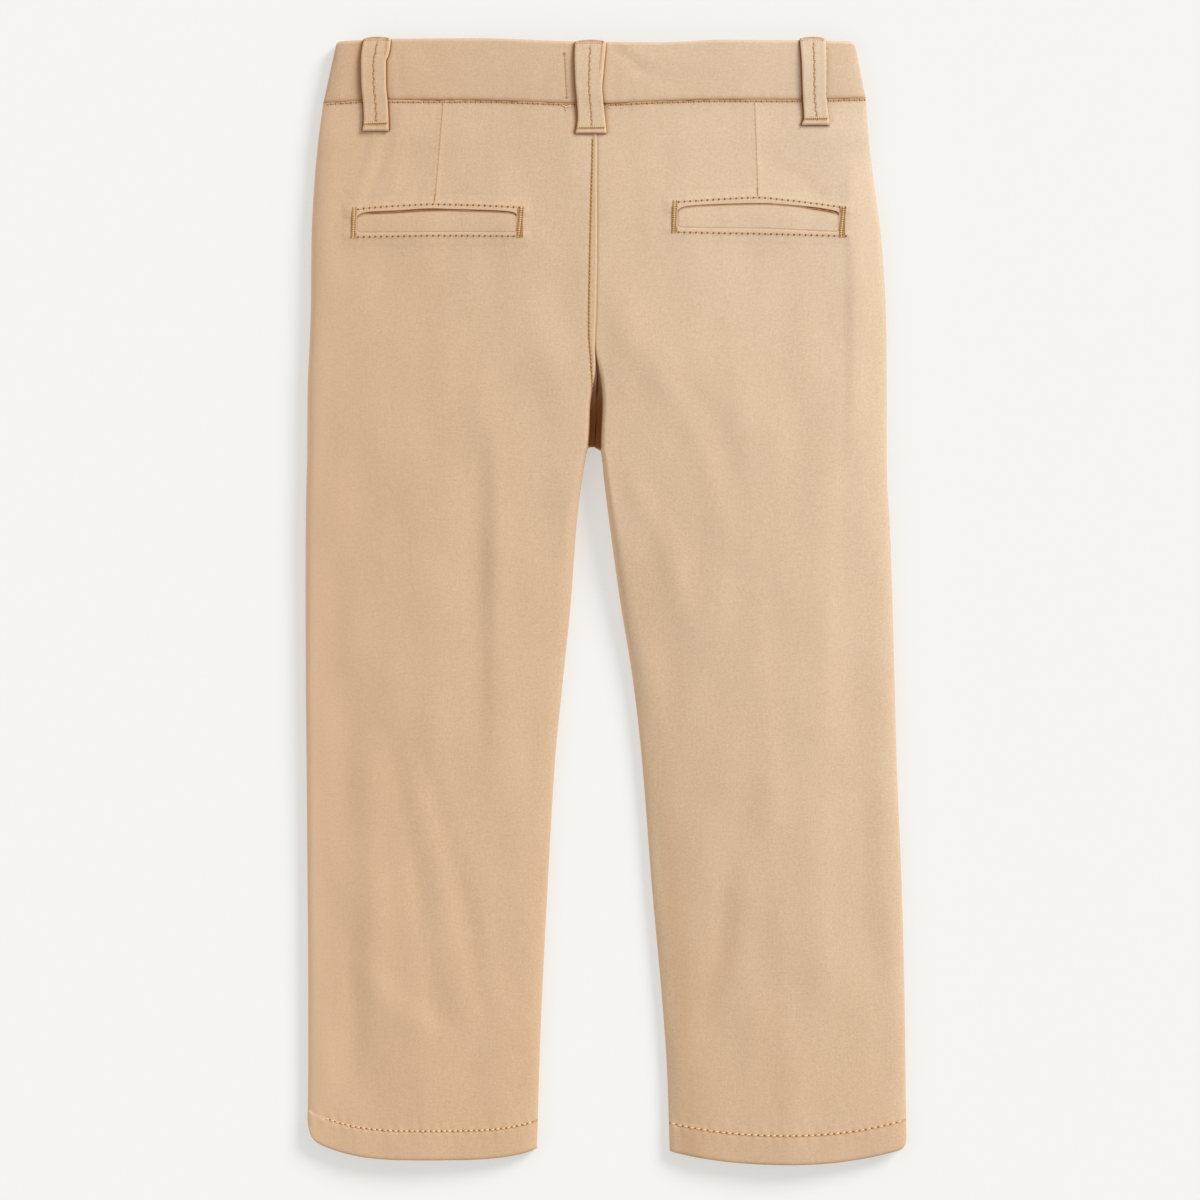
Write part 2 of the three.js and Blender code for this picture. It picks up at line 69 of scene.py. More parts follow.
def add_camera():
    """A long lens straight above the cloth, so that the picture is nearly free of perspective."""
    data = bpy.data.cameras.new("overhead")
    data.sensor_width = SENSOR_WIDTH
    data.lens = SENSOR_WIDTH * CAMERA_HEIGHT / PHOTO_WIDTH
    data.clip_end = 50
    camera = bpy.data.objects.new("overhead", data)
    camera.location = (PHOTO_CENTRE[0] * MM, PHOTO_CENTRE[1] * MM, (CAMERA_HEIGHT + CLOTH_MEAN_HEIGHT) * MM)
    bpy.context.collection.objects.link(camera)
    bpy.context.scene.camera = camera


def add_light(name, place, spread, strength, tint):
    """A far soft lamp in the direction of a place, so wide that its shadows have broad soft edges."""
    data = bpy.data.lights.new(name, "SUN")
    data.angle = np.radians(spread)
    data.energy = strength
    data.color = tint
    lamp = bpy.data.objects.new(name, data)
    lamp.location = place
    tilt = np.arccos(place[2] / np.linalg.norm(place))
    lamp.rotation_euler = (0, tilt, np.arctan2(place[1], place[0]))
    bpy.context.collection.objects.link(lamp)


def add_studio():
    """A pale floor lit a little from within, an even sky, a broad key from the upper right, a weak fill."""
    world = bpy.data.worlds.new("studio")
    world.use_nodes = True
    sky = world.node_tree.nodes["Background"]
    sky.inputs["Color"].default_value = (*SKY_COLOUR, 1)
    sky.inputs["Strength"].default_value = SKY_STRENGTH
    bpy.context.scene.world = world
    bpy.context.scene.view_settings.view_transform = "Standard"
    for name, lamp in LAMPS.items():
        add_light(name, *lamp)
    mesh = bpy.data.meshes.new("floor")
    corners = [(FLOOR_HALF * x, FLOOR_HALF * y, 0) for x, y in ((-1, -1), (1, -1), (1, 1), (-1, 1))]
    mesh.from_pydata(corners, [], [(0, 1, 2, 3)])
    floor = bpy.data.objects.new("floor", mesh)
    bpy.context.collection.objects.link(floor)
    paint = bpy.data.materials.new("pale_floor")
    paint.use_nodes = True
    shader = paint.node_tree.nodes["Principled BSDF"]
    shader.inputs["Base Color"].default_value = (*FLOOR_COLOUR, 1)
    shader.inputs["Roughness"].default_value = 0.9
    shader.inputs["Emission Color"].default_value = (*FLOOR_GLOW, 1)
    shader.inputs["Emission Strength"].default_value = 1.0
    mesh.materials.append(paint)


# Sizes of the garment

SEAM_GAP = 0.3
SIDE_SEAM_HEIGHT = 3.0
FRONT_WAIST_LIFT = 1.7
HEM_DEPTH = 15.0
HEM_BEND_REACH = 120.0
WAIST_SEAM_Y = 259.0
CROTCH_Y = 79.8
CROTCH_EASE = 0.8
VALLEYS = {"left": (130.0, 99.0), "right": (134.0, 102.0)}  # where each half starts to dip, and has dipped
# How wide the dip's flat floor is on either side of the seam
VALLEY_FLOOR = table(("y", "left", "right"), (80, 3.1, 3.05), (107, 3.4, 2.5))
CROTCH_SLANT = 0.34
LEAST_RIM = 0.3
CLOTH = 0.9  # thickness of one layer as it shows
HEM_CLOTH = 1.7
BAND_CLOTH = 1.7
LOOP_CLOTH = 1.3
LAID_CLOTH = 0.3  # of a dart's tuck and the cloth round a loop's end
POCKET_CLOTH = 0.35
STRIP_CLOTH = 1.1  # of the fly shield and the zip
CENTRE_FRONT_X = -4.6
BAND_DEPTH = 31.0  # from the waist seam to the top edge
BAND_CORNER = 3.0  # radius of the waistband's upper corners
BUTTON_Y = 275.0

# Both edges of each half along the garment; above the crotch the inner ones meet in the centre seam
OUTLINE = table(
    ("y", "left_outer", "left_inner", "right_inner", "right_outer"),
    (-294.0, -155.6, -36.0, 33.2, 156.5),
    (-249.1, -155.1, -34.8, 31.8, 156.0),
    (-207.5, -155.1, -33.3, 29.1, 155.5),
    (-145.1, -155.5, -30.2, 23.6, 153.9),
    (-82.7, -156.0, -26.5, 18.7, 151.4),
    (-41.1, -156.4, -22.4, 14.0, 150.3),
    (0.5, -156.5, -18.2, 7.3, 149.2),
    (42.1, -156.4, -15.1, 1.6, 147.7),
    (62.9, -156.0, -12.5, -1.0, 146.4),
    (79.0, -155.6, -9.3, -2.8, 146.2),
    (80.6, -155.6, -5.9, -5.9, 146.2),
    (102.0, -155.5, -4.7, -4.7, 146.2),
    (114.9, -155.3, -4.4, -4.4, 146.2),
    (133.0, -154.4, -5.7, -5.7, 146.1),
    (150.0, -153.8, -5.0, -5.0, 145.8),
    (187.7, -153.4, -4.5, -4.5, 143.5),
    (218.9, -151.8, -4.5, -4.5, 139.4),
    (239.7, -149.8, -4.4, -4.4, 136.8),
    (259.0, -147.2, -4.4, -4.4, 135.2),
)
# Height of the back's crown over the floor
CROWN = table(
    ("y", "height"),
    (-294, 10.8),
    (-160, 11.8),
    (-40, 13.2),
    (60, 15.4),
    (140, 16.8),
    (200, 16.4),
    (259, 14.0),
)
# The waist seam and the waistband's top line
WAIST_LINES = table(
    ("x", "seam", "top"),
    (-147, 259.0, 290.6),
    (-110, 260.5, 292.3),
    (-70, 260.3, 292.5),
    (-5, 258.4, 290.5),
    (30, 259.8, 290.4),
    (60, 260.6, 291.7),
    (100, 260.6, 291.6),
    (135, 261.6, 290.8),
)
# Each hem's lowest place, how far it rises towards either edge and in what curve, and its outer corner's
# own rise
LEGS = {
    "left": {"low": -290.7, "outer_rise": 11.4, "outer_power": 3, "inner_rise": 5.7, "inner_power": 4,
             "corner_rise": 9.4, "corner_reach": 1.4},
    "right": {"low": -293.2, "outer_rise": 8.6, "outer_power": 2.2, "inner_rise": 6.8, "inner_power": 2.2,
              "corner_rise": 4.9, "corner_reach": 0.75},
}

# The back rises steeply over its edges and then arches slowly to its crown
EDGE_SHARE = 0.5  # part of the rise that the edge has, the rest being the arch
CROTCH_EDGE_SHARE = 0.92  # beside the dip nearly all of it
ARCH_POWER = 1.4
SEAT_ARCH_Y = 170.0  # from here down the arch across half a seat becomes one across a leg

# How far the roll of each edge reaches into the panel
EDGE_ROLLS = table(
    ("y", "left_outer", "left_inner", "right_inner", "right_outer"),
    (-294, 5, 14, 24, 9),
    (-150, 5, 16, 26, 11),
    (-40, 5, 13, 16, 13),
    (30, 6, 8, 6, 15),
    (62, 7, 4, 4, 17),
    (80, 8, 2.6, 3, 22),
    (130, 10, 2.6, 3, 36),
    (200, 11, 4, 4, 42),
    (259, 15, 4, 4, 46),
)

# Soft folds of the back: both ends, how far the line bows to its right, the width on either side, and the
# height
FOLDS = table(
    ("x0", "y0", "x1", "y1", "bow", "left_width", "right_width", "height"),
    # left leg
    (-67, 66, -68, -90, 0.5, 12, 6, -0.95),
    (-56, 72, -57, -64, 0, 6, 11, 1.3),
    (-122, -96, -122, -202, 1, 9, 8, 1.1),
    (-118, -200, -90, -224, -3, 8, 8, 0.8),
    (-108, -90, -91, -207, 2, 6, 7, -1.0),
    (-93, -90, -65, -209, 3, 7, 6, -1.0),
    (-133, -184, -132, -242, 1, 6, 7, -1.1),
    (-150, -205, -150, -266, 0, 4, 6, 0.8),
    (-136, -30, -137, -150, 1, 9, 12, -0.5),
    (-84, -215, -68, -262, 2, 9, 9, -0.5),
    (-40, 20, -48, -90, -2, 9, 9, 0.5),
    # right leg
    (15, 133, 60, 40, 8, 8, 9, 0.9),
    (14, 60, 40, -4, 4, 7, 8, 0.9),
    (40, 116, 70, 28, 8, 8, 9, -0.25),
    (23, -10, 44, -90, 3, 9, 9, -0.4),
    (118, 92, 113, -184, -3, 13, 8, 1.2),
    (134, -60, 136, -190, 0, 7, 8, -0.5),
    (54, -70, 55, -128, 0, 13, 13, 0.8),
    (63, -150, 55, -206, 2, 6, 7, -1.0),
    (92, -190, 86, -262, -2, 9, 9, -0.5),
    (42, -190, 38, -262, 1, 8, 8, 0.4),
    # seat and hips
    (127, 210, 128, 90, 1.5, 3.5, 9, 1.3),
    (-112, 248, -127, 204, 2, 3.5, 4, -0.8),
    (-119, 248, -136, 194, 3, 3.5, 5, 0.6),
    (-103, 221, -111, 207, 0, 2.6, 2.6, -0.4),
    (-111, 222, -118, 207, 0, 2.6, 2.6, -0.4),
    (-95, 221, -99, 209, 0, 2.4, 2.4, -0.25),
    (88, 226, 112, 209, 2, 4, 4, -0.35),
    (-44, 180, -18, 96, -4, 9, 11, 0.5),
    (-144, 236, -148, 170, 0, 5, 7, 0.4),
    (-60, 250, -66, 214, 0, 7, 7, -0.25),
    (30, 250, 34, 214, 0, 8, 8, -0.25),
)
FOLD_EDGE_CLEARANCE = 14.0

# Slow unevenness of laid cloth: wavelengths along x and y, phase and height
UNEVENNESS = table(
    ("wave_x", "wave_y", "phase", "height"),
    (47, 150, 0.4, 0.16),
    (31, -95, 2.1, 0.11),
    (67, 61, 4.0, 0.14),
    (19, 240, 1.3, 0.06),
    (23, -130, 5.2, 0.05),
)


def ease(value, start, end):
    """Share from 0 to 1 that starts and ends gently as value goes from start to end."""
    share = np.clip((value - start) / (end - start), 0, 1)
    return share * share * (3 - 2 * share)


def mix(a, b, share):
    """The value that lies a share of the way from a to b."""
    return a + (b - a) * share


def bump_at(value, centre, width):
    """A soft bump of height 1: the bell curve of the distance over the width."""
    return np.exp(-(((value - centre) / width) ** 2))


def read(rows, place, column, at):
    """A table's column at a place: cubic pieces whose slopes never overshoot the rows."""
    xs, ys = rows[place], rows[column]
    secants = np.diff(ys) / np.diff(xs)
    before, after = secants[:-1], secants[1:]
    same = before * after > 0
    inner = np.where(same, 2 * before * after / np.where(same, before + after, 1), 0)
    slopes = np.concatenate([secants[:1], inner, secants[-1:]])
    at = np.asarray(at, float)
    i = np.clip(np.searchsorted(xs, at, side="right") - 1, 0, len(xs) - 2)
    span = xs[i + 1] - xs[i]
    t = np.clip((at - xs[i]) / span, 0, 1)
    start = (1 + 2 * t) * (1 - t) ** 2 * ys[i] + t * (1 - t) ** 2 * span * slopes[i]
    end = t * t * (3 - 2 * t) * ys[i + 1] + t * t * (t - 1) * span * slopes[i + 1]
    return start + end


def uneven_wave(at, pitch, swing, slow, phase=0.0):
    """A sine whose pitch swings slowly, as puckers along a seam do."""
    return np.sin(2 * PI * at / pitch + swing * np.sin(at / slow) + phase)


def edge_round(share):
    """Profile of a rolled edge: the cube root of 1 less the cube of what is left to the crown."""
    left = 1 - np.clip(share, 0, 1)
    return np.cbrt(1 - left**3)


def arch_to(share):
    """A slow arch: 1 less a power of what is left to the crown."""
    return 1 - (1 - np.clip(share, 0, 1)) ** ARCH_POWER


def edges_of(side, y):
    """The outer and inner edge of one half at a height, the way from outer to inner, and the width."""
    outer = read(OUTLINE, "y", f"{side}_outer", y)
    inner = read(OUTLINE, "y", f"{side}_inner", y)
    return outer, inner, 1 if side == "left" else -1, np.abs(inner - outer)


def front_lift(y):
    """How far the front's waist lies over the floor, where the waistband's turned edge is under it."""
    return FRONT_WAIST_LIFT * ease(y, 228, 242)


def valley_depth(side, y):
    """How far one half dips at the centre seam, from 0 at the seat to 1 at the crotch."""
    return ease(y, *VALLEYS[side])


def legs_parted(y):
    """0 above the crotch and 1 below it."""
    return ease(y, CROTCH_Y + CROTCH_EASE, CROTCH_Y - CROTCH_EASE)


def valley_floor(side, y):
    """Width of the dip's flat floor beside the seam."""
    return read(VALLEY_FLOOR, "y", side, y) * valley_depth(side, y) * (1 - legs_parted(y))


def fold_height(x, y):
    """Sum of the folds: a bell across each bowed line, swelling in the middle and dying past its ends."""
    total = np.zeros(np.broadcast(x, y).shape)
    for i in range(len(FOLDS["x0"])):
        fold = {name: column[i] for name, column in FOLDS.items()}
        along_x, along_y = fold["x1"] - fold["x0"], fold["y1"] - fold["y0"]
        length = np.hypot(along_x, along_y)
        along = ((x - fold["x0"]) * along_x + (y - fold["y0"]) * along_y) / length
        share = np.clip(along / length, 0, 1)
        across = ((x - fold["x0"]) * -along_y + (y - fold["y0"]) * along_x) / length
        across = across - fold["bow"] * 4 * share * (1 - share)
        width = np.where(across < 0, fold["left_width"], fold["right_width"])
        fading = 1.2 * (fold["left_width"] + fold["right_width"])
        past = np.maximum(0, np.maximum(-along, along - length)) / fading
        swell = 0.65 + 0.35 * np.sin(PI * share)
        total = total + fold["height"] * swell * np.exp(-((across / width) ** 2) - past**2)
    return total


def uneven_height(x, y):
    """Sum of a few long crossing waves."""
    total = 0
    for wave_x, wave_y, phase, height in zip(*UNEVENNESS.values()):
        total = total + height * np.sin(2 * PI * (x / wave_x + y / wave_y) + phase)
    return total


def back_height(side, x, y):
    """Height of the back's outer face over the floor, before seams and pockets are added.

    From the side seam it rises as a rolled edge and a slow arch, each with its share of the rise. The legs
    and the dip above the crotch roll down at their inner edge too, and right at the centre seam both halves
    reach the same depth. Folds and unevenness fade out at the edges.
    """
    outer, inner, way, width = edges_of(side, y)
    from_outer = way * (x - outer)
    from_seam = way * (inner - x)
    from_inner = from_seam - valley_floor(side, y)
    valley = mix(valley_depth(side, y), valley_depth("right", y), ease(from_seam, 0.6, 0))
    outer_roll = read(EDGE_ROLLS, "y", f"{side}_outer", y)
    inner_roll = read(EDGE_ROLLS, "y", f"{side}_inner", y)
    outer_reach = mix(width, width / 2, ease(y, SEAT_ARCH_Y, CROTCH_Y))
    inner_share = mix(EDGE_SHARE, CROTCH_EDGE_SHARE, ease(y, -70, 75))
    outer_round = mix(arch_to(from_outer / outer_reach), edge_round(from_outer / outer_roll), EDGE_SHARE)
    inner_round = mix(arch_to(2 * from_inner / width), edge_round(from_inner / inner_roll), inner_share)
    base = SIDE_SEAM_HEIGHT + front_lift(y) + SEAM_GAP / 2
    rise = read(CROWN, "y", "height", y) - base
    outer_fade = ease(from_outer, 0, FOLD_EDGE_CLEARANCE)
    inner_fade = mix(1, ease(from_inner, 0, FOLD_EDGE_CLEARANCE / 2), valley)
    soft = (fold_height(x, y) + uneven_height(x, y)) * outer_fade * inner_fade
    return base + rise * outer_round * (1 - valley * (1 - inner_round)) + soft


def bend(side, x, y):
    """How far a point moves along the garment, because the hem and the waist seam aren't straight."""
    outer, _, way, width = edges_of(side, y)
    leg = LEGS[side]
    across = 2 * way * (x - outer) / width - 1
    near_outer = leg["outer_rise"] * np.abs(across) ** leg["outer_power"]
    near_inner = leg["inner_rise"] * np.abs(across) ** leg["inner_power"]
    hem = np.where(across < 0, near_outer, near_inner) * ease(y, leg["low"] + HEM_BEND_REACH, leg["low"])
    from_outer = np.maximum(way * (x - outer), 0)
    corner = leg["corner_rise"] * np.exp(-from_outer / leg["corner_reach"])
    hem = hem + corner * np.clip(1 - (y - leg["low"]) / (HEM_DEPTH + 1), 0, 1)
    waist = (read(WAIST_LINES, "x", "seam", x) - WAIST_SEAM_Y) * ease(y, 200, WAIST_SEAM_Y)
    from_crotch = x - read(OUTLINE, "y", "left_inner", CROTCH_Y + CROTCH_EASE)
    slant = -CROTCH_SLANT * from_crotch * bump_at(from_crotch, 0, 6) * bump_at(y, CROTCH_Y, 4)
    return hem + waist + slant


# Meshes


def grid_normals(points):
    """Unit normals of a grid of points: the cross product of its two directions."""
    across = np.gradient(points, axis=1)
    along = np.gradient(points, axis=0)
    normals = np.cross(across, along)
    return normals / np.linalg.norm(normals, axis=2, keepdims=True)


def grid_faces(rows, columns, start=0, flip=False):
    """Corner numbers of a grid's squares, facing up, or down where flipped."""
    r, c = np.meshgrid(np.arange(rows - 1), np.arange(columns - 1), indexing="ij")
    at = (start + r * columns + c).ravel()
    corners = [at, at + 1, at + columns + 1, at + columns]
    return np.stack(corners[::-1] if flip else corners, axis=1)


def make_mesh(name, points, faces, material, attributes=None, flat_from=None):
    """A mesh from points in millimetres and four-cornered faces, riding on the garment.

    It is smooth, apart from the faces from a stated number on.
    """
    mesh = bpy.data.meshes.new(name)
    mesh.vertices.add(len(points))
    mesh.vertices.foreach_set("co", (points * MM).astype(np.float32).ravel())
    mesh.loops.add(faces.size)
    mesh.loops.foreach_set("vertex_index", faces.astype(np.int32).ravel())
    mesh.polygons.add(len(faces))
    mesh.polygons.foreach_set("loop_start", np.arange(0, faces.size, faces.shape[1], dtype=np.int32))
    mesh.update(calc_edges=True)
    smooth = np.arange(len(faces)) < (len(faces) if flat_from is None else flat_from)
    mesh.polygons.foreach_set("use_smooth", smooth)
    for key, values in (attributes or {}).items():
        mesh.attributes.new(key, "FLOAT", "POINT").data.foreach_set("value", values.astype(np.float32))
    mesh.materials.append(material)
    mesh.validate()
    piece = bpy.data.objects.new(name, mesh)
    bpy.context.collection.objects.link(piece)
    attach(piece, "root")
    return piece


def cloth_piece(name, points, thickness, material, wear_and_shade=0.0, feathered=False):
    """A closed cloth wall under a grid of points, which runs left to right and up the garment.

    The inner face lies a thickness along the normal behind the outer one. Round the border one more line
    of points, half-way between the faces and pushed outwards, makes a rounded rim. A feathered piece
    ends at the surface that it lies on, so its rim isn't smoothed into its face.
    """
    rows, columns = points.shape[:2]
    normals = grid_normals(points)
    thickness = np.broadcast_to(thickness, (rows, columns))[..., None]
    inner = points - normals * thickness
    index = np.arange(rows * columns).reshape(rows, columns)
    loop = np.concatenate([index[0, :-1], index[:-1, -1], index[-1, :0:-1], index[:0:-1, 0]])
    flat, flat_inner, flat_normals = points.reshape(-1, 3), inner.reshape(-1, 3), normals.reshape(-1, 3)
    border = flat[loop]
    along = np.roll(border, -1, axis=0) - np.roll(border, 1, axis=0)
    outwards = np.cross(along, flat_normals[loop])
    outwards = outwards / np.maximum(np.linalg.norm(outwards, axis=1, keepdims=True), 1e-9)
    bulge = 0.3 * thickness.reshape(-1, 1)[loop]
    middle = (border + flat_inner[loop]) / 2 + outwards * bulge
    count = rows * columns
    mid = 2 * count + np.arange(len(loop))
    after, mid_after = np.roll(loop, -1), np.roll(mid, -1)
    rim = np.concatenate([
        np.stack([after, loop, mid, mid_after], axis=1),
        np.stack([mid_after, mid, loop + count, after + count], axis=1),
    ])
    outer_faces = grid_faces(rows, columns)
    inner_faces = grid_faces(rows, columns, start=count, flip=True)
    faces = np.concatenate([outer_faces, inner_faces, rim])
    # Per point: wear_and_shade, the marks of rubbing and seams together with painted light and shade
    worn_and_shaded = np.broadcast_to(wear_and_shade, (rows, columns))
    marks = np.concatenate([worn_and_shaded.ravel(), np.zeros(count), worn_and_shaded.ravel()[loop]])
    flat_from = len(faces) - len(rim) if feathered else None
    points = np.concatenate([flat, flat_inner, middle])
    return make_mesh(name, points, faces, material, {"wear_and_shade": marks}, flat_from)


def declare_cloth(piece, node):
    """Hides the part of model.glb that the piece replaces."""
    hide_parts(node)


# Cloth and thread materials


def add_node(tree, kind, **settings):
    """A node of one kind, with its settings."""
    node = tree.nodes.new(kind)
    for key, value in settings.items():
        setattr(node, key, value)
    return node


def math_node(tree, operation, first, second=None):
    """A Math node whose inputs are sockets or plain numbers."""
    node = add_node(tree, "ShaderNodeMath", operation=operation)
    for socket, value in zip(node.inputs, (first, second)):
        if isinstance(value, bpy.types.NodeSocket):
            tree.links.new(value, socket)
        elif value is not None:
            socket.default_value = value
    return node.outputs[0]


def plus(tree, first, second):
    """An Add node's output."""
    return math_node(tree, "ADD", first, second)


def times(tree, first, second):
    """A Multiply node's output."""
    return math_node(tree, "MULTIPLY", first, second)


def noise_node(tree, coordinates, scale, stretch=(1, 1, 1), detail=2.0):
    """Noise on object coordinates, with its own stretch along each axis."""
    mapping = add_node(tree, "ShaderNodeMapping")
    mapping.inputs["Scale"].default_value = stretch
    noise = add_node(tree, "ShaderNodeTexNoise")
    noise.inputs["Scale"].default_value = scale
    noise.inputs["Detail"].default_value = detail
    tree.links.new(coordinates, mapping.inputs["Vector"])
    tree.links.new(mapping.outputs["Vector"], noise.inputs["Vector"])
    return noise.outputs["Fac"]


def colour_mix(tree, share, first, second):
    """Mixes two colours by a share; each is a socket or a plain colour."""
    node = add_node(tree, "ShaderNodeMix", data_type="RGBA")
    tree.links.new(share, node.inputs["Factor"])
    for name, value in (("A", first), ("B", second)):
        socket = next(s for s in node.inputs if s.name == name and s.type == "RGBA")
        if isinstance(value, bpy.types.NodeSocket):
            tree.links.new(value, socket)
        else:
            socket.default_value = (*value, 1)
    return next(s for s in node.outputs if s.type == "RGBA")


# Painted highlight: the cloth is made paler and whiter towards the upper right, where the key light falls
HIGHLIGHT_PALING = (1.154, 1.349, 1.626)  # how much paler and whiter the painted highlight makes the cloth where it is strongest
HIGHLIGHT_PALING_MIDDLE = 0.28  # share of that at the frame's origin
HIGHLIGHT_PALING_ACROSS = 1.9  # more of it for each metre to the right
HIGHLIGHT_PALING_ALONG = 0.75  # and for each metre towards the waist
HIGHLIGHT_PALING_LEAN = 3.0  # and the rise to the right grows towards the waist
SEAM_AND_SHADE_TINT = (0.66, 0.45, 0.26)  # what dark seams and painted crease shade keep of red, green and blue
# The deep brown of the darkest seams and of painted shade
DEEP_SEAM_AND_SHADE = (0.19, 0.068, 0.013)
GRAIN_SPREAD = (0.07, 0.1, 0.15)  # how far the grain lightens and darkens red, green and blue
RIB_LEAN = 0.8  # slope of the twill's ribs
YARN_SCALE = 1900  # of the noises that make uneven yarns, each stretched along its yarns
GRAIN_SCALE = 980
MOTTLE_SCALE = 26
YARN_SHARE, GRAIN_SHARE, MOTTLE_SHARE, TONE_LESS = 1.3, 1.9, 0.5, 1.35  # what makes up the tone
CLOTH_SHINE = 0.25
CLOTH_SHEEN = 0.12


def new_material(name):
    """A node material with its tree, its shader, the object coordinates and their axes."""
    material = bpy.data.materials.new(name)
    material.use_nodes = True
    tree = material.node_tree
    place = add_node(tree, "ShaderNodeTexCoord").outputs["Object"]
    axes = add_node(tree, "ShaderNodeSeparateXYZ")
    tree.links.new(place, axes.inputs[0])
    return material, tree, tree.nodes["Principled BSDF"], place, axes.outputs


def add_bump(tree, shader, height, strength, distance):
    """Tilts the shader's normals by a height."""
    bump = add_node(tree, "ShaderNodeBump")
    bump.inputs["Strength"].default_value = strength
    bump.inputs["Distance"].default_value = distance * MM
    tree.links.new(height, bump.inputs["Height"])
    tree.links.new(bump.outputs["Normal"], shader.inputs["Normal"])


def twill(name, base, weave_pitch=0.42):
    """Fine cotton twill: diagonal ribs, uneven yarns both ways, soft mottling, dark seams, painted light and
    shade.

    Ribs are a sine of the distance across the diagonal. Yarns are noise stretched along the garment and
    across it. The cloth is painted paler and whiter towards its upper right, as a highlight of the key light.
    The wear_and_shade attribute lightens pressed edges and painted light above zero. Below zero it browns
    seams and painted shade, and from minus one half on it darkens them to a deep brown. Browned cloth is
    made duller too, so that painted shade has no shine.
    """
    material, tree, shader, place, axes = new_material(name)
    diagonal = plus(tree, axes["X"], times(tree, axes["Y"], RIB_LEAN))
    ribs = math_node(tree, "SINE", times(tree, diagonal, 2 * PI / (weave_pitch * MM)))
    warp = noise_node(tree, place, YARN_SCALE, (1, 0.06, 1))
    weft = noise_node(tree, place, YARN_SCALE, (0.05, 1, 1))
    grain = noise_node(tree, place, GRAIN_SCALE, detail=3)
    mottle = noise_node(tree, place, MOTTLE_SCALE, (1, 0.7, 1), detail=3)
    yarns = plus(tree, times(tree, warp, 0.5), times(tree, weft, 0.5))
    light = tuple(c * (1 + share) for c, share in zip(base, GRAIN_SPREAD))
    dark = tuple(c * (1 - share) for c, share in zip(base, GRAIN_SPREAD))
    tone = plus(tree, times(tree, yarns, YARN_SHARE), times(tree, grain, GRAIN_SHARE))
    tone = plus(tree, tone, times(tree, mottle, MOTTLE_SHARE))
    tone = math_node(tree, "SUBTRACT", tone, TONE_LESS)
    fresh = colour_mix(tree, tone, dark, light)
    highlit_dark, highlit_light = (tuple(min(1, c * f) for c, f in zip(shade, HIGHLIGHT_PALING)) for shade in (dark, light))
    highlit = colour_mix(tree, tone, highlit_dark, highlit_light)
    # Painted highlight: the share of the paler copy grows to the right and towards the waist
    lean = plus(tree, times(tree, axes["Y"], HIGHLIGHT_PALING_LEAN), HIGHLIGHT_PALING_ACROSS)
    fade = plus(tree, times(tree, axes["X"], lean), HIGHLIGHT_PALING_MIDDLE)
    fade = plus(tree, fade, times(tree, axes["Y"], HIGHLIGHT_PALING_ALONG))
    cloth = colour_mix(tree, fade, fresh, highlit)
    wear_and_shade = add_node(tree, "ShaderNodeAttribute", attribute_name="wear_and_shade").outputs["Fac"]
    # Above zero: paler for pressed edges and painted light; below zero: browner for seams and painted shade
    pale = tuple(min(1, c * 1.16 + 0.02) for c in base)
    brown = tuple(c * share for c, share in zip(base, SEAM_AND_SHADE_TINT))
    worn_and_shaded = colour_mix(tree, math_node(tree, "MAXIMUM", wear_and_shade, 0.0), cloth, pale)
    shade = times(tree, wear_and_shade, -2.0)
    seamed_and_shaded = colour_mix(tree, math_node(tree, "MAXIMUM", shade, 0.0), worn_and_shaded, brown)
    deep = math_node(tree, "MAXIMUM", math_node(tree, "SUBTRACT", shade, 1.0), 0.0)
    tree.links.new(colour_mix(tree, deep, seamed_and_shaded, DEEP_SEAM_AND_SHADE), shader.inputs["Base Color"])
    height = plus(tree, times(tree, ribs, 0.3), yarns)
    height = plus(tree, height, times(tree, grain, 0.6))
    add_bump(tree, shader, height, strength=0.35, distance=0.15)
    # Where painted shade browns the cloth it also loses its shine and sheen
    open_cloth = math_node(tree, "MAXIMUM", math_node(tree, "SUBTRACT", 1.0, shade), 0.0)
    open_cloth = math_node(tree, "MINIMUM", open_cloth, 1.0)
    tree.links.new(times(tree, open_cloth, CLOTH_SHINE), shader.inputs["Specular IOR Level"])
    tree.links.new(times(tree, open_cloth, CLOTH_SHEEN), shader.inputs["Sheen Weight"])
    shader.inputs["Roughness"].default_value = 0.88
    shader.inputs["Sheen Roughness"].default_value = 0.45
    return material


def thread(name, base, twist=0.35, gloss=0.3):
    """Sewing thread: slanted plies as a sine across the diagonal, and a little unevenness of colour."""
    material, tree, shader, place, axes = new_material(name)
    slant = math_node(tree, "SUBTRACT", axes["X"], axes["Y"])
    plies = math_node(tree, "SINE", times(tree, slant, 2 * PI / (twist * MM)))
    tone = plus(tree, times(tree, plies, 0.2), noise_node(tree, place, 300))
    light, dark = tuple(min(1, c * 1.25) for c in base), tuple(c * 0.7 for c in base)
    tree.links.new(colour_mix(tree, tone, dark, light), shader.inputs["Base Color"])
    add_bump(tree, shader, plies, strength=0.4, distance=0.05)
    shader.inputs["Roughness"].default_value = 0.6
    shader.inputs["Specular IOR Level"].default_value = gloss
    shader.inputs["Sheen Weight"].default_value = 0.4 * gloss
    return material


# Back panels

# Distances of a panel's columns from its outer edge and from its inner one, close where it rolls
OUTER_COLUMNS = np.array([0, 0.25, 0.6, 1.1, 1.7, 2.5, 3.5, 4.7, 6.0, 7.4])
INNER_COLUMNS = np.array([7.0, 5.8, 4.8, 4.0, 3.3, 2.7, 2.2, 1.75, 1.35, 1.0, 0.7, 0.45, 0.2, 0.0])
MIDDLE_COLUMNS = 96  # between those


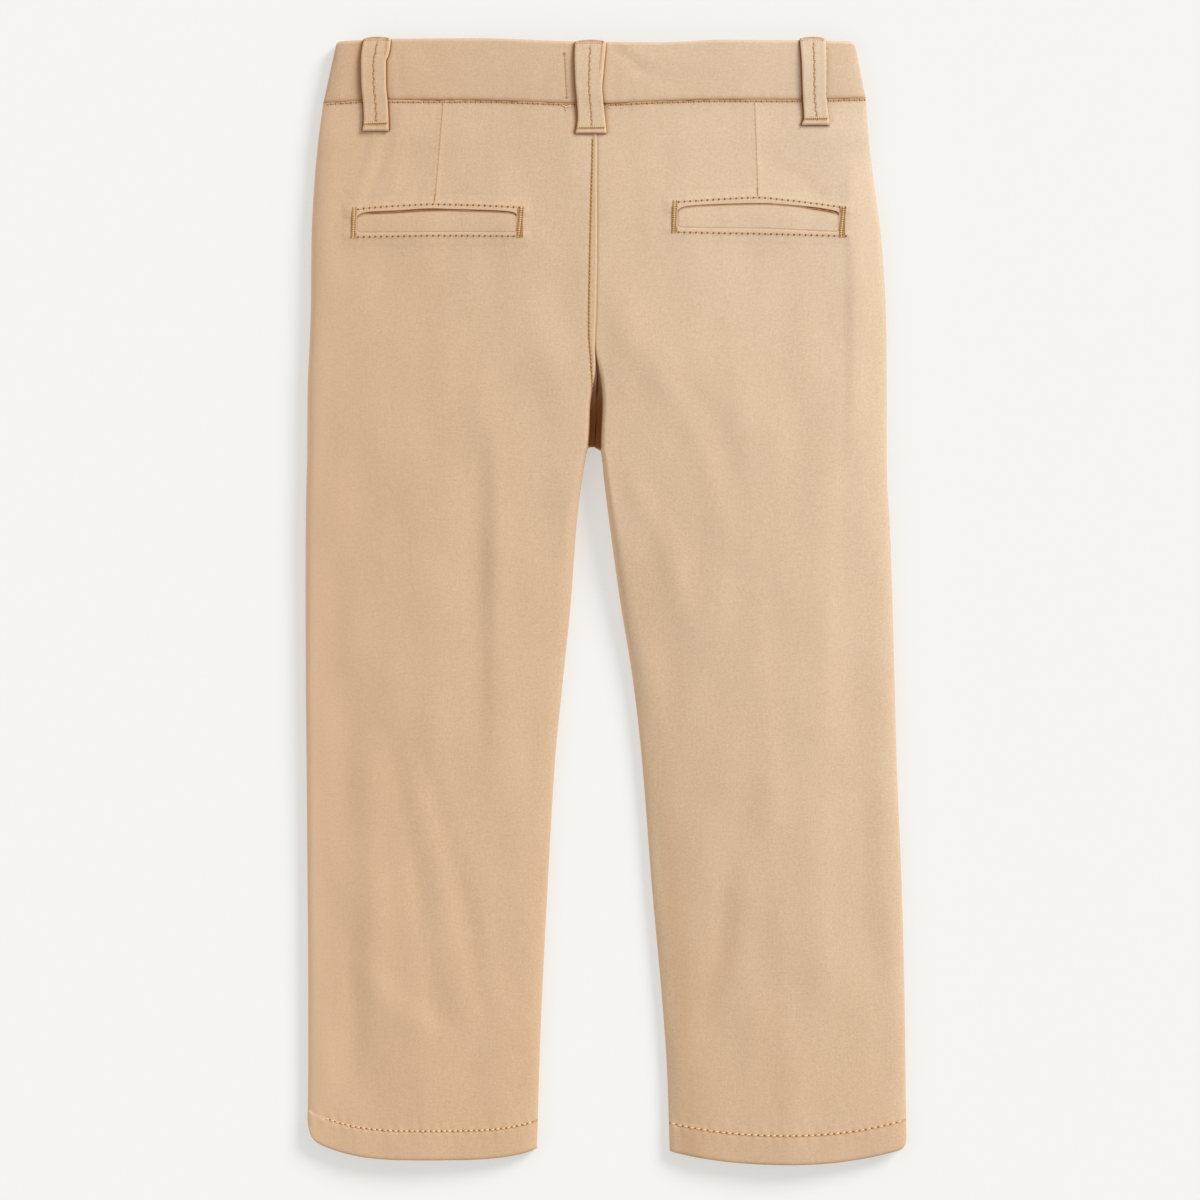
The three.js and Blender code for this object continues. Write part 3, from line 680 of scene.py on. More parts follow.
def panel_heights(side):
    """Heights of a back panel's rows: close at the hem, the crotch and the seat, wider down the leg."""
    low = LEGS[side]["low"]
    hem = np.arange(low, low + HEM_DEPTH + 4, 0.8)
    leg = np.arange(hem[-1] + 2.2, 76, 2.3)
    crotch = np.concatenate([np.arange(leg[-1] + 0.8, 79, 0.8), [79.0, 79.3, 79.6, 79.8, 80.0, 80.3, 80.6]])
    seat = np.arange(81.4, 140, 1.1)
    upper = np.arange(seat[-1] + 1.35, WAIST_SEAM_Y - 3, 1.35)
    waist = np.linspace(WAIST_SEAM_Y - 2.4, WAIST_SEAM_Y, 6)
    return np.concatenate([hem, leg, crotch, seat, upper, waist])


# The line of the topstitching beside the centre seam
SEAT_STITCHES = table(
    ("y", "x"),
    (104, -7.6),
    (113.9, -7.3),
    (124.3, -7.8),
    (139.9, -8.9),
    (177.3, -8.4),
    (241.3, -6.9),
)


def seam_relief(side, x, y):
    """What sewing adds to the back's height, and its wear_and_shade.

    The centre seam is a fine groove with a narrow ridge on its left, and further left its topstitching lies
    in a shallow trough. The hem is a step with a trough at its stitching. The top edge dips under the
    waistband. Close to stitching the cloth puckers in short uneven waves. Painted shade darkens the fold
    troughs, the dip at the crotch, a band inside the right leg's inner edge and the panel under the
    waistband's edge; painted light brightens the left leg's outer edge and the right leg's inner edge.
    """
    outer, inner, way, _ = edges_of(side, y)
    low = LEGS[side]["low"]
    from_seam = x - inner
    from_stitches = x - read(SEAT_STITCHES, "y", "x", y)
    above_crotch = ease(y, 104, 112)
    height = 0.26 * bump_at(from_seam, -1.0, 0.75) * ease(y, 106, 122) - 0.3 * bump_at(from_seam, 0.1, 0.55)
    height = (height - 0.2 * bump_at(from_stitches, 0, 0.7)) * above_crotch
    # Fold ridges are paler, as rubbing; fold troughs are browner, as painted shade
    wear_and_shade = 0.05 * fold_height(x, y)
    wear_and_shade = wear_and_shade + 0.5 * bump_at(from_seam, -1.1, 0.5) * ease(y, 106, 130)
    groove = mix(0.25, 0.6, ease(y, 140, 120)) * bump_at(from_seam, 0.15, 0.42)
    wear_and_shade = wear_and_shade - (groove + 0.1 * bump_at(from_stitches, 0, 0.7)) * above_crotch
    pucker = uneven_wave(y, 5.3, 1.7, 9.0) * bump_at(from_stitches, 0, 2.4) * above_crotch
    height = height + 0.07 * pucker
    # Painted shade in the dip beside the centre seam above the crotch
    floor = valley_floor(side, y)
    in_valley = ease(np.abs(from_seam), floor + 1.0, floor + 0.1) * (1 - legs_parted(y))
    wear_and_shade = wear_and_shade - 0.62 * in_valley * ease(y, VALLEYS[side][0] - 6, VALLEYS[side][1] - 10)
    from_outer = np.abs(x - outer)
    if side == "left":
        # Painted light brightens the left leg's outer edge, which faces away from the key light
        slow = mix(0.42, 0.22, ease(y, 60, 200))
        wear_and_shade = wear_and_shade + 0.75 * np.exp(-from_outer / 3) + slow * np.exp(-from_outer / 35)
    else:
        # Painted shade: a brown band inside the right leg's inner edge, growing towards the hem
        wear_and_shade = wear_and_shade - 0.09 * bump_at(-way * from_seam, 11, 8) * ease(y, -20, -170)
        # Painted light brightens the right leg's inner edge below the crotch
        wear_and_shade = wear_and_shade + 0.5 * np.exp(way * from_seam / 2) * legs_parted(y)
    from_hem = y - low
    stitched = bump_at(from_hem, HEM_DEPTH, 0.9)
    height = height + 0.5 * ease(from_hem, HEM_DEPTH + 1.2, HEM_DEPTH - 1.0) - 0.3 * stitched
    height = height - 0.35 * ease(from_hem, 1.2, 0)
    hem_pucker = uneven_wave(x, 6.1, 1.3, 7.0, from_hem / 3.0)
    height = height + 0.14 * hem_pucker * bump_at(from_hem, HEM_DEPTH, 4.5)
    wear_and_shade = wear_and_shade - 0.4 * bump_at(from_hem, HEM_DEPTH, 0.65) + 0.2 * bump_at(from_hem, HEM_DEPTH + 1.5, 0.7)
    on_hem = ease(from_hem, HEM_DEPTH + 0.5, HEM_DEPTH - 1.5)
    wear_and_shade = wear_and_shade - 0.06 * bump_at(from_hem, 0.2, 0.7) - 0.035 * on_hem
    below = WAIST_SEAM_Y - y
    height = height - 0.06 * np.exp(-below / 1.3)
    height = height + 0.1 * uneven_wave(x, 7.3, 1.9, 11.0) * np.exp(-below / 6.0)
    # Painted shade just below the waistband's edge
    wear_and_shade = wear_and_shade - 0.26 * np.exp(-below / 0.9) - 0.06 * np.exp(-below / 4)
    return height, wear_and_shade


# How dark the painted shadow is beside each loop, over the waistband and below it, and how far that reaches
LOOP_SHADES = {
    "left": {"left": (0.4, 2.4, 0.95, 0.7), "right": (0.9, 0.5, 1.0, 0.75)},
    "centre": {"left": (0.5, 1.5, 0.6, 1.5), "right": (0.6, 0.5, 0.3, 1.5)},
    "right": {"left": (0.95, 0.6, 1.0, 0.8), "right": (0.05, 1.0, 0.06, 1.0)},
}


def loop_shade(x, y):
    """How dark the painted shadow is close beside the belt loops and just under their lower ends."""
    shade = 0
    for which, rows in LOOPS.items():
        left, right = read(rows, "y", "left", y), read(rows, "y", "right", y)
        low, top = rows["y"][0], rows["y"][-1]
        along = ease(y, low - 0.8, low + 0.8) * ease(y, top + 2, top - 2)
        on_panel = ease(y, low + 16.5, low + 15)
        sides = []
        for away, side in ((left - x, "left"), (x - right, "right")):
            on_band, band_reach, below, below_reach = LOOP_SHADES[which][side]
            reach = mix(band_reach, below_reach, on_panel)
            sides.append(np.exp(-(np.maximum(away, 0) / reach) ** 1.5) * mix(on_band, below, on_panel))
        # Painted shade just under a loop's lower end
        under = 0.45 * np.exp(-np.maximum(low - y, 0) / 0.4) * ease(y, low - 2, low - 1)
        beneath = (x > left - 0.3) & (x < right + 0.3)
        across = np.where(x < left, sides[0], np.where(x > right, sides[1], np.maximum(*sides)))
        shade = shade + np.where(y < low, under * beneath, across * along)
    return np.clip(shade, 0, 1)


# Each dart's ends: at the waist seam, and its point
DARTS = {"left": ((-84.9, 259.4), (-89.3, 206.3)), "right": ((77.0, 259.6), (78.8, 209.8))}


def dart_line(side, x, y):
    """Wear along a dart: a fine dark line with a pale stripe on its right."""
    (x1, y1), (x0, y0) = DARTS[side]
    across = x - mix(x0, x1, (y - y0) / (y1 - y0))
    return 0.3 * bump_at(across, 0.85, 0.45) - 0.66 * bump_at(across, 0, 0.34)


# Lines of each back pocket: its upper stitches, its slit, the rim under its welt, and its lower stitches
POCKETS = {
    "left": table(
        ("x", "stitch_top", "slit", "rim", "stitch_low"),
        (-131.5, 203.2, 199.4, 191.2, 189.1),
        (-124.4, 204.1, 201.8, 191.3, 189.3),
        (-110.2, 205.2, 202.4, 191.4, 189.5),
        (-90.0, 206.0, 203.5, 191.5, 189.8),
        (-70.3, 205.6, 203.0, 191.5, 189.7),
        (-52.0, 204.7, 202.2, 191.3, 189.5),
        (-44.6, 204.3, 200.8, 191.2, 189.4),
    ),
    "right": table(
        ("x", "stitch_top", "slit", "rim", "stitch_low"),
        (34.2, 206.9, 202.0, 194.0, 191.6),
        (42.5, 207.5, 204.9, 193.7, 191.4),
        (59.1, 208.6, 206.0, 193.5, 191.1),
        (79.0, 209.5, 206.5, 193.3, 190.8),
        (92.3, 208.4, 205.9, 192.9, 190.5),
        (108.9, 206.5, 204.2, 192.2, 190.1),
        (122.6, 204.7, 201.8, 191.5, 189.7),
    ),
}
POCKET_ENDS = {"left": (-129.2, -46.6), "right": (37.4, 120.9)}  # inner ends of the opening
POCKET_MARGIN = 7.0  # how far the cloth laid round a pocket reaches past its stitches
POCKET_END_MARGIN = POCKET_MARGIN + 3  # and past the ends of its opening
POCKET_OVERRUN = 2.6  # how far its rows of stitches run past those ends
SUNK = -0.04  # a laid cloth's border ends this far under the panel
FEATHER = 0.03  # and further in it lies this far over it
RISE_REACH = 3.2  # from the border to there


def pocket_mound(side, x, y):
    """The layers under a pocket lift the panel a little, over a soft-edged oblong."""
    start, end = POCKET_ENDS[side]
    across = ease(x, start - 13, start - 2) * ease(x, end + 13, end + 2)
    along = ease(y, 177, 189) * ease(y, 222, 208)
    return 0.25 * across * along


def panel_surface(side, x, y):
    """Finished height and wear_and_shade of a back panel at its own, unbent, places."""
    relief, wear_and_shade = seam_relief(side, x, y)
    return back_height(side, x, y) + relief + pocket_mound(side, x, y), wear_and_shade


def back_finish(x, y):
    """Finished height and wear_and_shade of the back panels at places in the frame, either side of the seam.
    """
    x, y = np.broadcast_arrays(np.asarray(x, float), np.asarray(y, float))
    left, right = [panel_surface(side, x, y - bend(side, x, y)) for side in ("left", "right")]
    is_left = x < read(OUTLINE, "y", "left_inner", y)
    return np.where(is_left, left[0], right[0]), np.where(is_left, left[1], right[1])


def back_surface(x, y):
    """Finished height of the back panels at places in the frame."""
    return back_finish(x, y)[0]


def back_panel(side, material):
    """A back panel from the hem to the waist seam, as a wall that is thicker at the turned-up hem."""
    y = panel_heights(side)[:, None]
    outer, _, way, width = edges_of(side, y)
    rim = np.maximum(valley_floor(side, y), LEAST_RIM)
    span = width - rim
    share = np.linspace(0, 1, MIDDLE_COLUMNS + 2)[None, 1:-1]
    middle = OUTER_COLUMNS[-1] + (span - INNER_COLUMNS[0] - OUTER_COLUMNS[-1]) * share
    outer_part = np.broadcast_to(OUTER_COLUMNS[None], (len(y), len(OUTER_COLUMNS)))
    seam_part = np.stack([span + rim * f for f in (0.5, 1.0)], axis=-1)[:, 0]
    distance = np.concatenate([outer_part, middle, span - INNER_COLUMNS[None], seam_part], axis=1)
    x = outer + way * distance
    height, wear_and_shade = panel_surface(side, x, y)
    points = np.stack([x, y + bend(side, x, y), height], axis=2)
    thickness = mix(CLOTH, HEM_CLOTH, ease(y - LEGS[side]["low"], HEM_DEPTH + 0.6, HEM_DEPTH - 0.6))
    if side == "right":
        points, wear_and_shade = points[:, ::-1], wear_and_shade[:, ::-1]
    return cloth_piece(f"back_panel_{side}", points, thickness, material, wear_and_shade)


# Pockets


POCKET_PITCH = 3.0  # of the needle holes
# Where a slit's painted shade is lighter and where fully dark, and between which places its dark line thins
SLIT_SHADES = {"left": (-127, -120, -92, -80), "right": (96, 112, 112, 96)}
PULLED_ENDS = {"left": (-48, -80), "right": (112, 60)}  # the pulls at the holes die out between these places


def feather(from_border):
    """How a laid cloth comes up through the panel from its sunk border."""
    return mix(SUNK, FEATHER, ease(from_border, 0, RISE_REACH))


def pocket_relief(side, x, y):
    """Height of a pocket's cloth over the panel, and its wear_and_shade.

    Above the slit lies the panel's turned lip, below it the welt, and a narrow rim runs under the welt and
    round its ends. The slit turns down at its ends, the welt's lower corners are round, and the cloth
    puckers at the needle holes. Painted shade darkens the slit and below it, the rim under the welt, the
    slit's ends and the needle holes. Everything sinks into the panel towards the border.
    """
    lines = {name: read(POCKETS[side], "x", name, x) for name in ("stitch_top", "slit", "rim", "stitch_low")}
    start, end = POCKET_ENDS[side]
    inside_x = np.minimum(x - start, end - x)
    turn = np.clip(1 - inside_x / 1.6, 0, 1)
    slit = lines["slit"] - 0.7 * turn**2
    rim = lines["rim"] + 1.0 * turn**2
    under_slit, over_rim = slit - y, y - rim
    lip = 0.75 - 0.45 * ease(y - lines["stitch_top"], -0.4, 2.5)
    frame_low = 0.6 - 0.35 * ease(lines["stitch_low"] - y, -0.4, 2.0)
    frame_end = 0.65 - 0.4 * ease(-inside_x, 1.5, 4.5)
    welt = 0.42 + 0.12 * bump_at(y, (slit + rim) / 2, 3.5)
    welt = welt * ease(under_slit, 0.25, 1.6) - 0.3 * ease(under_slit, 0.7, 0.1)
    welt = welt - 0.3 * bump_at(over_rim, 0.15, 0.35)
    middle_height = mix(mix(welt, frame_low, ease(-over_rim, -0.1, 0.15)), lip, ease(-under_slit, -0.15, 0.1))
    half = (lines["slit"] - lines["rim"]) / 2
    from_middle = y - (lines["slit"] + lines["rim"]) / 2
    surround = np.where(from_middle < 0, frame_low, lip)
    blend_end = ease(np.abs(from_middle), half - 1.5, half + 0.8)
    end_height = mix(frame_end, surround, blend_end) - 0.3 * bump_at(inside_x, -0.15, 0.3) * (1 - blend_end)
    height = mix(middle_height, end_height, ease(inside_x, 0.25, -0.15))
    between = ease(inside_x, -3.5, -2.0)
    top_row, low_row = y - lines["stitch_top"], lines["stitch_low"] - y
    rows = bump_at(top_row, 0, 0.6) + bump_at(low_row, 0, 0.6)
    holes = np.cos(2 * PI * (x - start + POCKET_OVERRUN) / POCKET_PITCH)
    height = height - (0.1 - 0.06 * holes) * rows * between
    pulls = np.cos(2 * PI * (x - start) / (1.6 * POCKET_PITCH) + 0.9 * np.sin(x / 5.0))
    pulled = np.exp(-np.maximum(top_row, 0) / 3.0) * ease(top_row, -0.2, 0.9)
    pulled = pulled + 0.5 * np.exp(-np.maximum(low_row, 0) / 2.5) * ease(low_row, -0.2, 0.9)
    height = height + 0.14 * pulls * pulled * between * ease(x, *PULLED_ENDS[side])
    fade = ease(top_row, POCKET_MARGIN - 1, 0.8) * ease(low_row, POCKET_MARGIN - 1, 0.8)
    fade = fade * ease(-inside_x, POCKET_MARGIN + 2, 3.2)
    within = inside_x > -0.1
    # Painted shade in the slit, fading below it, and a line of it along the rim under the welt
    first, full, thick_from, thick_to = SLIT_SHADES[side]
    darkest = mix(0.5, 1.05, ease(x, first, full))
    wide = 0.48 + 0.3 * ease(x, thick_to, thick_from)
    below_slit = ease(under_slit, 2.4, 0.3) * ease(under_slit, -0.1, 0.2)
    opening = bump_at(under_slit, 0.14, wide) + 0.22 * below_slit
    wear_and_shade = -darkest * opening * within - 0.3 * bump_at(over_rim, 0.15, 0.32) * within
    # Painted shade at the slit's ends
    beside_end = ease(under_slit, -0.2, 0.4) * ease(over_rim, -0.3, 0.3)
    wear_and_shade = wear_and_shade - 0.34 * bump_at(inside_x, 0.0, 0.34) * beside_end
    wear_and_shade = wear_and_shade + 0.5 * bump_at(under_slit, -0.95, 0.45) * within
    wear_and_shade = wear_and_shade + 0.55 * bump_at(over_rim, -0.55, 0.45) * within
    wear_and_shade = wear_and_shade + 0.4 * bump_at(inside_x, -0.75, 0.5) * (1 - blend_end)
    roped = bump_at(inside_x, -0.75, 0.3) + bump_at(inside_x, -3.1, 0.35) + 0.6 * bump_at(inside_x, -2.0, 1.0)
    beside_welt = ease(np.abs(from_middle), half + 3.0, half + 2.2)
    # Painted shade at the needle holes of both rows; the bartacks are darker too
    wear_and_shade = wear_and_shade - (0.1 - 0.07 * holes) * rows * between - 0.55 * roped * beside_welt
    border_y = np.minimum(POCKET_MARGIN - top_row, POCKET_MARGIN - low_row)
    from_border = np.minimum(border_y, inside_x + POCKET_END_MARGIN)
    wear_and_shade = wear_and_shade * fade + dart_line(side, x, y) * ease(top_row, 0.3, 1.2)
    return feather(from_border) + height * fade, wear_and_shade


def pocket_surface(side, x, y):
    """Finished height of a pocket's cloth at places in the frame."""
    return back_surface(x, y) + pocket_relief(side, x, y)[0]


def pocket(side, material):
    """The lip, slit, welt and rim of a back pocket, as one cloth laid on the panel."""
    start, end = POCKET_ENDS[side]
    x = np.linspace(start - POCKET_END_MARGIN, end + POCKET_END_MARGIN, 256)[None]
    low = read(POCKETS[side], "x", "stitch_low", x) - POCKET_MARGIN
    top = read(POCKETS[side], "x", "stitch_top", x) + POCKET_MARGIN
    y = mix(low, top, np.linspace(0, 1, 100)[:, None])
    x = np.broadcast_to(x, y.shape)
    relief, wear_and_shade = pocket_relief(side, x, y)
    under, worn_and_shaded = back_finish(x, y)
    points = np.stack([x, y, under + relief], axis=2)
    return cloth_piece(f"pocket_{side}", points, POCKET_CLOTH, material, worn_and_shaded + wear_and_shade, feathered=True)


# Waistband


BAND_CROWNS = (14.5, 13.7)  # height of the band's crown at its seam and its top


def band_ends(share):
    """Ends of the waistband, drawn in towards its upper corners."""
    return mix(-147.2, -140.9, share), mix(135.2, 130.0, share)


def band_height(x, share):
    """Height of the waistband's back over the floor: an arch that is a little lower at its top edge."""
    left, right = band_ends(share)
    half = (right - left) / 2
    from_side = np.minimum(x - left, right - x)
    roll = np.where(x < (left + right) / 2, EDGE_ROLLS["left_outer"][-1], EDGE_ROLLS["right_outer"][-1])
    base = SIDE_SEAM_HEIGHT + FRONT_WAIST_LIFT + SEAM_GAP / 2
    crown = mix(*BAND_CROWNS, share) - base
    return base + crown * mix(arch_to(from_side / half), edge_round(from_side / roll), EDGE_SHARE)


def band_corner(x):
    """How far the rounded upper corners lie below the band's top line."""
    left, right = band_ends(1.0)
    from_side = np.maximum(0, np.minimum(x - left, right - x))
    short = np.clip(BAND_CORNER - from_side, 0, BAND_CORNER)
    return BAND_CORNER - np.sqrt(BAND_CORNER**2 - short**2)


# Wrinkles of the waistband: both ends, as a place across and a share of the way up, width and height
BAND_WRINKLES = table(
    ("x0", "share0", "x1", "share1", "width", "height"),
    (3, 0.95, 17, 0.55, 3.2, -0.28),
    (17, 0.55, 34, 0.32, 3.6, -0.24),
    (10, 0.95, 26, 0.66, 3.0, 0.22),
    (30, 0.75, 56, 0.5, 4.0, 0.18),
    (-70, 0.1, -58, 0.6, 5.0, 0.22),
    (-96, 0.85, -84, 0.3, 6.0, -0.22),
    (70, 0.2, 84, 0.8, 6.0, 0.2),
    (-34, 0.15, -27, 0.8, 4.0, -0.2),
    (-108, 0.2, -108, 0.9, 3.0, -0.2),
    (96, 0.2, 96, 0.9, 3.0, -0.2),
    (4, 0.1, 4, 0.9, 3.0, -0.15),
)
TACK = ((-21.7, 284.4), (-20.3, 261.6))  # a short row of stitching beside the centre loop


def band_relief(x, share):
    """Soft wrinkles, a rolled top edge, a lip along the seam and puckers at its stitches, with their
    wear_and_shade.
    """
    height = np.zeros(np.broadcast(x, share).shape)
    for x0, s0, x1, s1, width, rise in zip(*BAND_WRINKLES.values()):
        ax, ay = x1 - x0, (s1 - s0) * BAND_DEPTH
        t = np.clip(((x - x0) * ax + (share - s0) * BAND_DEPTH * ay) / (ax * ax + ay * ay), 0, 1)
        away = np.hypot(x - x0 - t * ax, (share - s0) * BAND_DEPTH - t * ay)
        height = height + rise * bump_at(away, 0, width)
    up = share * BAND_DEPTH
    down = (1 - share) * BAND_DEPTH
    height = height - 0.7 * ease(down, 1.6, 0) ** 2 - 0.35 * ease(up, 0.9, 0)
    pucker = uneven_wave(x, 8.1, 2.0, 13.0)
    height = height + 0.1 * pucker * np.exp(-up / 5.0) + 0.07 * np.sin(x / 17.0 + 3 * share)
    height = height + 0.06 * np.sin(2 * PI * x / 53.0 + share) + 0.25 * np.sin(PI * share)
    # Paler along the top edge and slightly darker all over; painted shade along the lower edge, and towards
    # the right end, which rolls towards the key light
    wear_and_shade = 0.22 * ease(down, 1.4, 0.2) - 0.32 * np.exp(-up / 0.9) - 0.035 - 0.05 * ease(x, 80, 128)
    (x1, _), (x0, _) = TACK
    tacked = x0 + (x1 - x0) * (up / BAND_DEPTH)
    along = ease(up, 2.0, 3.0) * ease(down, 5.4, 6.6)
    height = height - 0.14 * bump_at(x, tacked, 0.6) * along
    wear_and_shade = wear_and_shade - 0.26 * bump_at(x, tacked, 0.45) * along
    return height, wear_and_shade


def band_y(x, share):
    """Place of a waistband point along the garment, from just over the waist seam to the top line."""
    bottom = read(WAIST_LINES, "x", "seam", x) + 0.05
    top = read(WAIST_LINES, "x", "top", x) - band_corner(x)
    return mix(bottom, top, share)


def waistband_back(material):
    """The back of the waistband: an arch from side seam to side seam."""
    share = np.concatenate([[0, 0.012, 0.03], np.linspace(0.06, 0.94, 34), [0.96, 0.975, 0.99, 1.0]])[:, None]
    left, right = band_ends(share)
    turn = np.linspace(0, PI, 500)[None]
    across = 0.65 * turn / PI + 0.35 * (1 - np.cos(turn)) / 2
    x = mix(left, right, across)
    relief, wear_and_shade = band_relief(x, share)
    # Painted shadow beside the loops
    wear_and_shade = wear_and_shade - loop_shade(x, band_y(x, share))
    points = np.stack([x, band_y(x, share), band_height(x, share) + relief], axis=2)
    return cloth_piece("waistband_back_cloth", points, BAND_CLOTH, material, wear_and_shade)


def band_share(x, y):
    """How far up the waistband a place lies."""
    bottom, top = read(WAIST_LINES, "x", "seam", x), read(WAIST_LINES, "x", "top", x)
    return np.clip((y - bottom) / (top - bottom), 0, 1)


def band_surface(x, y):
    """Finished height of the waistband at places in the frame."""
    share = band_share(x, y)
    return band_height(x, share) + band_relief(x, share)[0]


# Belt loops

# Edges of each belt loop of the back, from its lower to its upper end
LOOPS = {
    "left": table(
        ("y", "left", "right"),
        (244.0, -126.7, -112.9),
        (250.8, -126.0, -113.0),
        (258.5, -126.3, -113.4),
        (268.0, -127.2, -114.2),
        (280.5, -127.5, -114.3),
        (283.0, -127.4, -113.2),
        (288.0, -126.8, -112.1),
        (292.4, -126.0, -111.8),
    ),
    "centre": table(
        ("y", "left", "right"),
        (242.6, -15.9, 0.4),
        (251.0, -14.7, -0.5),
        (259.0, -15.1, -1.4),
        (266.4, -15.8, -1.9),
        (274.0, -16.2, -1.3),
        (281.8, -16.4, -0.6),
        (290.6, -16.2, 0.3),
    ),
    "right": table(
        ("y", "left", "right"),
        (247.2, 101.5, 116.2),
        (251.3, 102.8, 115.9),
        (263.7, 102.2, 114.5),
        (280.4, 101.6, 114.7),
        (292.4, 100.7, 114.5),
    ),
}
# Where the turned layer peeks out right of the top one: how wide it is, and where it starts and is full
LOOP_PEEKS = {"left": (2.2, 281.0, 284.0), "centre": (2.3, 266.0, 278.0), "right": (0.7, 268.0, 290.0)}
LOOP_CROWN = 1.0  # how far a loop's folded upper end arches up
LOOP_LIFT = 0.35  # how far a loop's underside lies over the cloth at its ends
LOOP_BOW = 0.95  # and how much more between them
LOOP_BARTACKS = {"left": 4.1, "centre": 3.1, "right": 3.4}  # from the loop's lower end
LOOP_TOP_STITCH = 1.3  # from its upper end
BED_SIDE, BED_LOW = 6.0, 4.0  # how far the cloth laid round a loop's lower end reaches, aside and down


def outside_height(x, y):
    """Height of whatever cloth lies outermost: the waistband above the waist seam, the panel below it."""
    seam = read(WAIST_LINES, "x", "seam", x)
    return mix(back_surface(x, y), band_surface(x, y), ease(y - seam, -3.0, 1.0))


def loop_height(which, x, y):
    """Top face of a belt loop, and its wear_and_shade.

    It follows the cloth below it smoothly, bows away between its ends, steps down at the turned ends'
    stitching, and has a shallow trough along its middle stitching. Its long edges are rounded, its lower
    end is a puffed lip, and near the top its turned layer shows beside a fine groove. Its edges are pale,
    the right one with a painted highlight, and painted shade lies along its left edge, in the groove, under
    the lip and along the folded upper end.
    """
    rows = LOOPS[which]
    low, top = rows["y"][0], rows["y"][-1]
    left, right = read(rows, "y", "left", y), read(rows, "y", "right", y)
    step = np.clip((y - low) / (top - low), 0, 1)
    centre = (left + right) / 2
    shifts = np.linspace(-7, 7, 9)
    weights = np.cos(shifts / 8 * PI / 2) ** 2

    def smooth(aside):
        """Height of the cloth below, beside the middle line, averaged along the loop."""
        heights = [weight * outside_height(centre + aside, y + s) for weight, s in zip(weights, shifts)]
        return sum(heights) / weights.sum()

    tilt = (smooth(5.0) - smooth(-5.0)) / 10
    from_low, from_top = y - low, top - y
    inside = np.minimum(x - left, right - x)
    bowed = LOOP_BOW * np.sin(PI * step) ** 0.8
    height = smooth(0.0) + tilt * (x - centre) + LOOP_LIFT + LOOP_CLOTH + bowed
    bartack = LOOP_BARTACKS[which]
    lip = ease(from_low, bartack + 0.4, bartack - 1.2)
    height = height + 0.25 * lip - 0.9 * ease(from_low, 1.3, 0) ** 2
    height = height - 0.35 * bump_at(from_low, bartack, 0.6) - 0.15 * bump_at(from_top, LOOP_TOP_STITCH, 0.5)
    height = height - 0.8 * ease(from_top, 1.2, 0) ** 2
    height = height - 0.16 * bump_at(x, centre, 0.7) + 0.1 * bump_at(inside, 1.6, 1.0)
    height = height - 0.5 * ease(inside, 0.8, 0) ** 2
    height = height + 0.06 * np.sin(y / 2.3) * bump_at(inside, 2.5, 2.5)
    peek, starts, full = LOOP_PEEKS[which]
    shown = ease(y, starts, full)
    from_fold = x - (right - peek * shown)
    height = height - 0.4 * ease(from_fold, -0.3, 0.2) * shown
    # Pale pressed edges, the right one with a painted highlight
    wear_and_shade = 0.3 * bump_at(x - left, 1.1, 0.5) + 0.5 * bump_at(right - x, 0.5, 0.4)
    wear_and_shade = wear_and_shade - 0.08 * bump_at(x, centre, 0.6)
    # Painted shade along the outermost left edge
    wear_and_shade = wear_and_shade - 0.4 * ease(x - left, 0.5, 0)
    # Painted shade in the groove beside the turned layer
    wear_and_shade = wear_and_shade - 0.42 * bump_at(from_fold, 0.0, 0.3) * shown * ease(peek, 0.7, 2.0)
    wear_and_shade = wear_and_shade - 0.3 * bump_at(from_low, bartack - 0.9, 0.3) - 0.15 * bump_at(from_low, bartack, 0.9)
    # A paler puffed lip, and painted shade along its lower edge
    wear_and_shade = wear_and_shade + 0.5 * bump_at(from_low, 1.4, 0.6) - 0.6 * ease(from_low, 0.6, 0)
    # Painted shade along the folded upper end
    wear_and_shade = wear_and_shade - 0.3 * ease(from_top, 1.6, 0.6)
    return height, wear_and_shade


def belt_loop(which, material):
    """One belt loop of the back, with a folded upper end that arches up."""
    rows = LOOPS[which]
    y = np.linspace(rows["y"][0], rows["y"][-1], 120)[:, None]
    left, right = read(rows, "y", "left", y), read(rows, "y", "right", y)
    edge = np.array([0, 0.02, 0.05, 0.09, 0.14])
    across = np.concatenate([edge, np.linspace(0.17, 0.83, 34), 1 - edge[::-1]])[None]
    x = mix(left, right, across)
    height, wear_and_shade = loop_height(which, x, np.broadcast_to(y, x.shape))
    arched = y + LOOP_CROWN * (1 - (2 * across - 1) ** 2) * ease(y, rows["y"][-1] - 6, rows["y"][-1])
    points = np.stack([x, arched, height], axis=2)
    return cloth_piece(f"belt_loop_{which}", points, LOOP_CLOTH, material, wear_and_shade)


def loop_bed(which, material):
    """The panel's cloth close round a loop's lower end, with the painted shadow of the loop's edges on it."""
    rows = LOOPS[which]
    low = rows["y"][0] - BED_LOW
    x = np.linspace(rows["left"][0] - BED_SIDE, rows["right"][0] + BED_SIDE, 84)[None]
    top = read(WAIST_LINES, "x", "seam", x) - 0.3
    y = mix(low, top, np.linspace(0, 1, 56)[:, None])
    x = np.broadcast_to(x, y.shape)
    under, worn_and_shaded = back_finish(x, y)
    from_border = np.minimum(np.minimum(x - x[0, 0], x[0, -1] - x), y - low)
    points = np.stack([x, y, under + feather(from_border)], axis=2)
    wear_and_shade = worn_and_shaded - loop_shade(x, y)
    return cloth_piece(f"loop_bed_{which}", points, LAID_CLOTH, material, wear_and_shade, feathered=True)


# Stitches


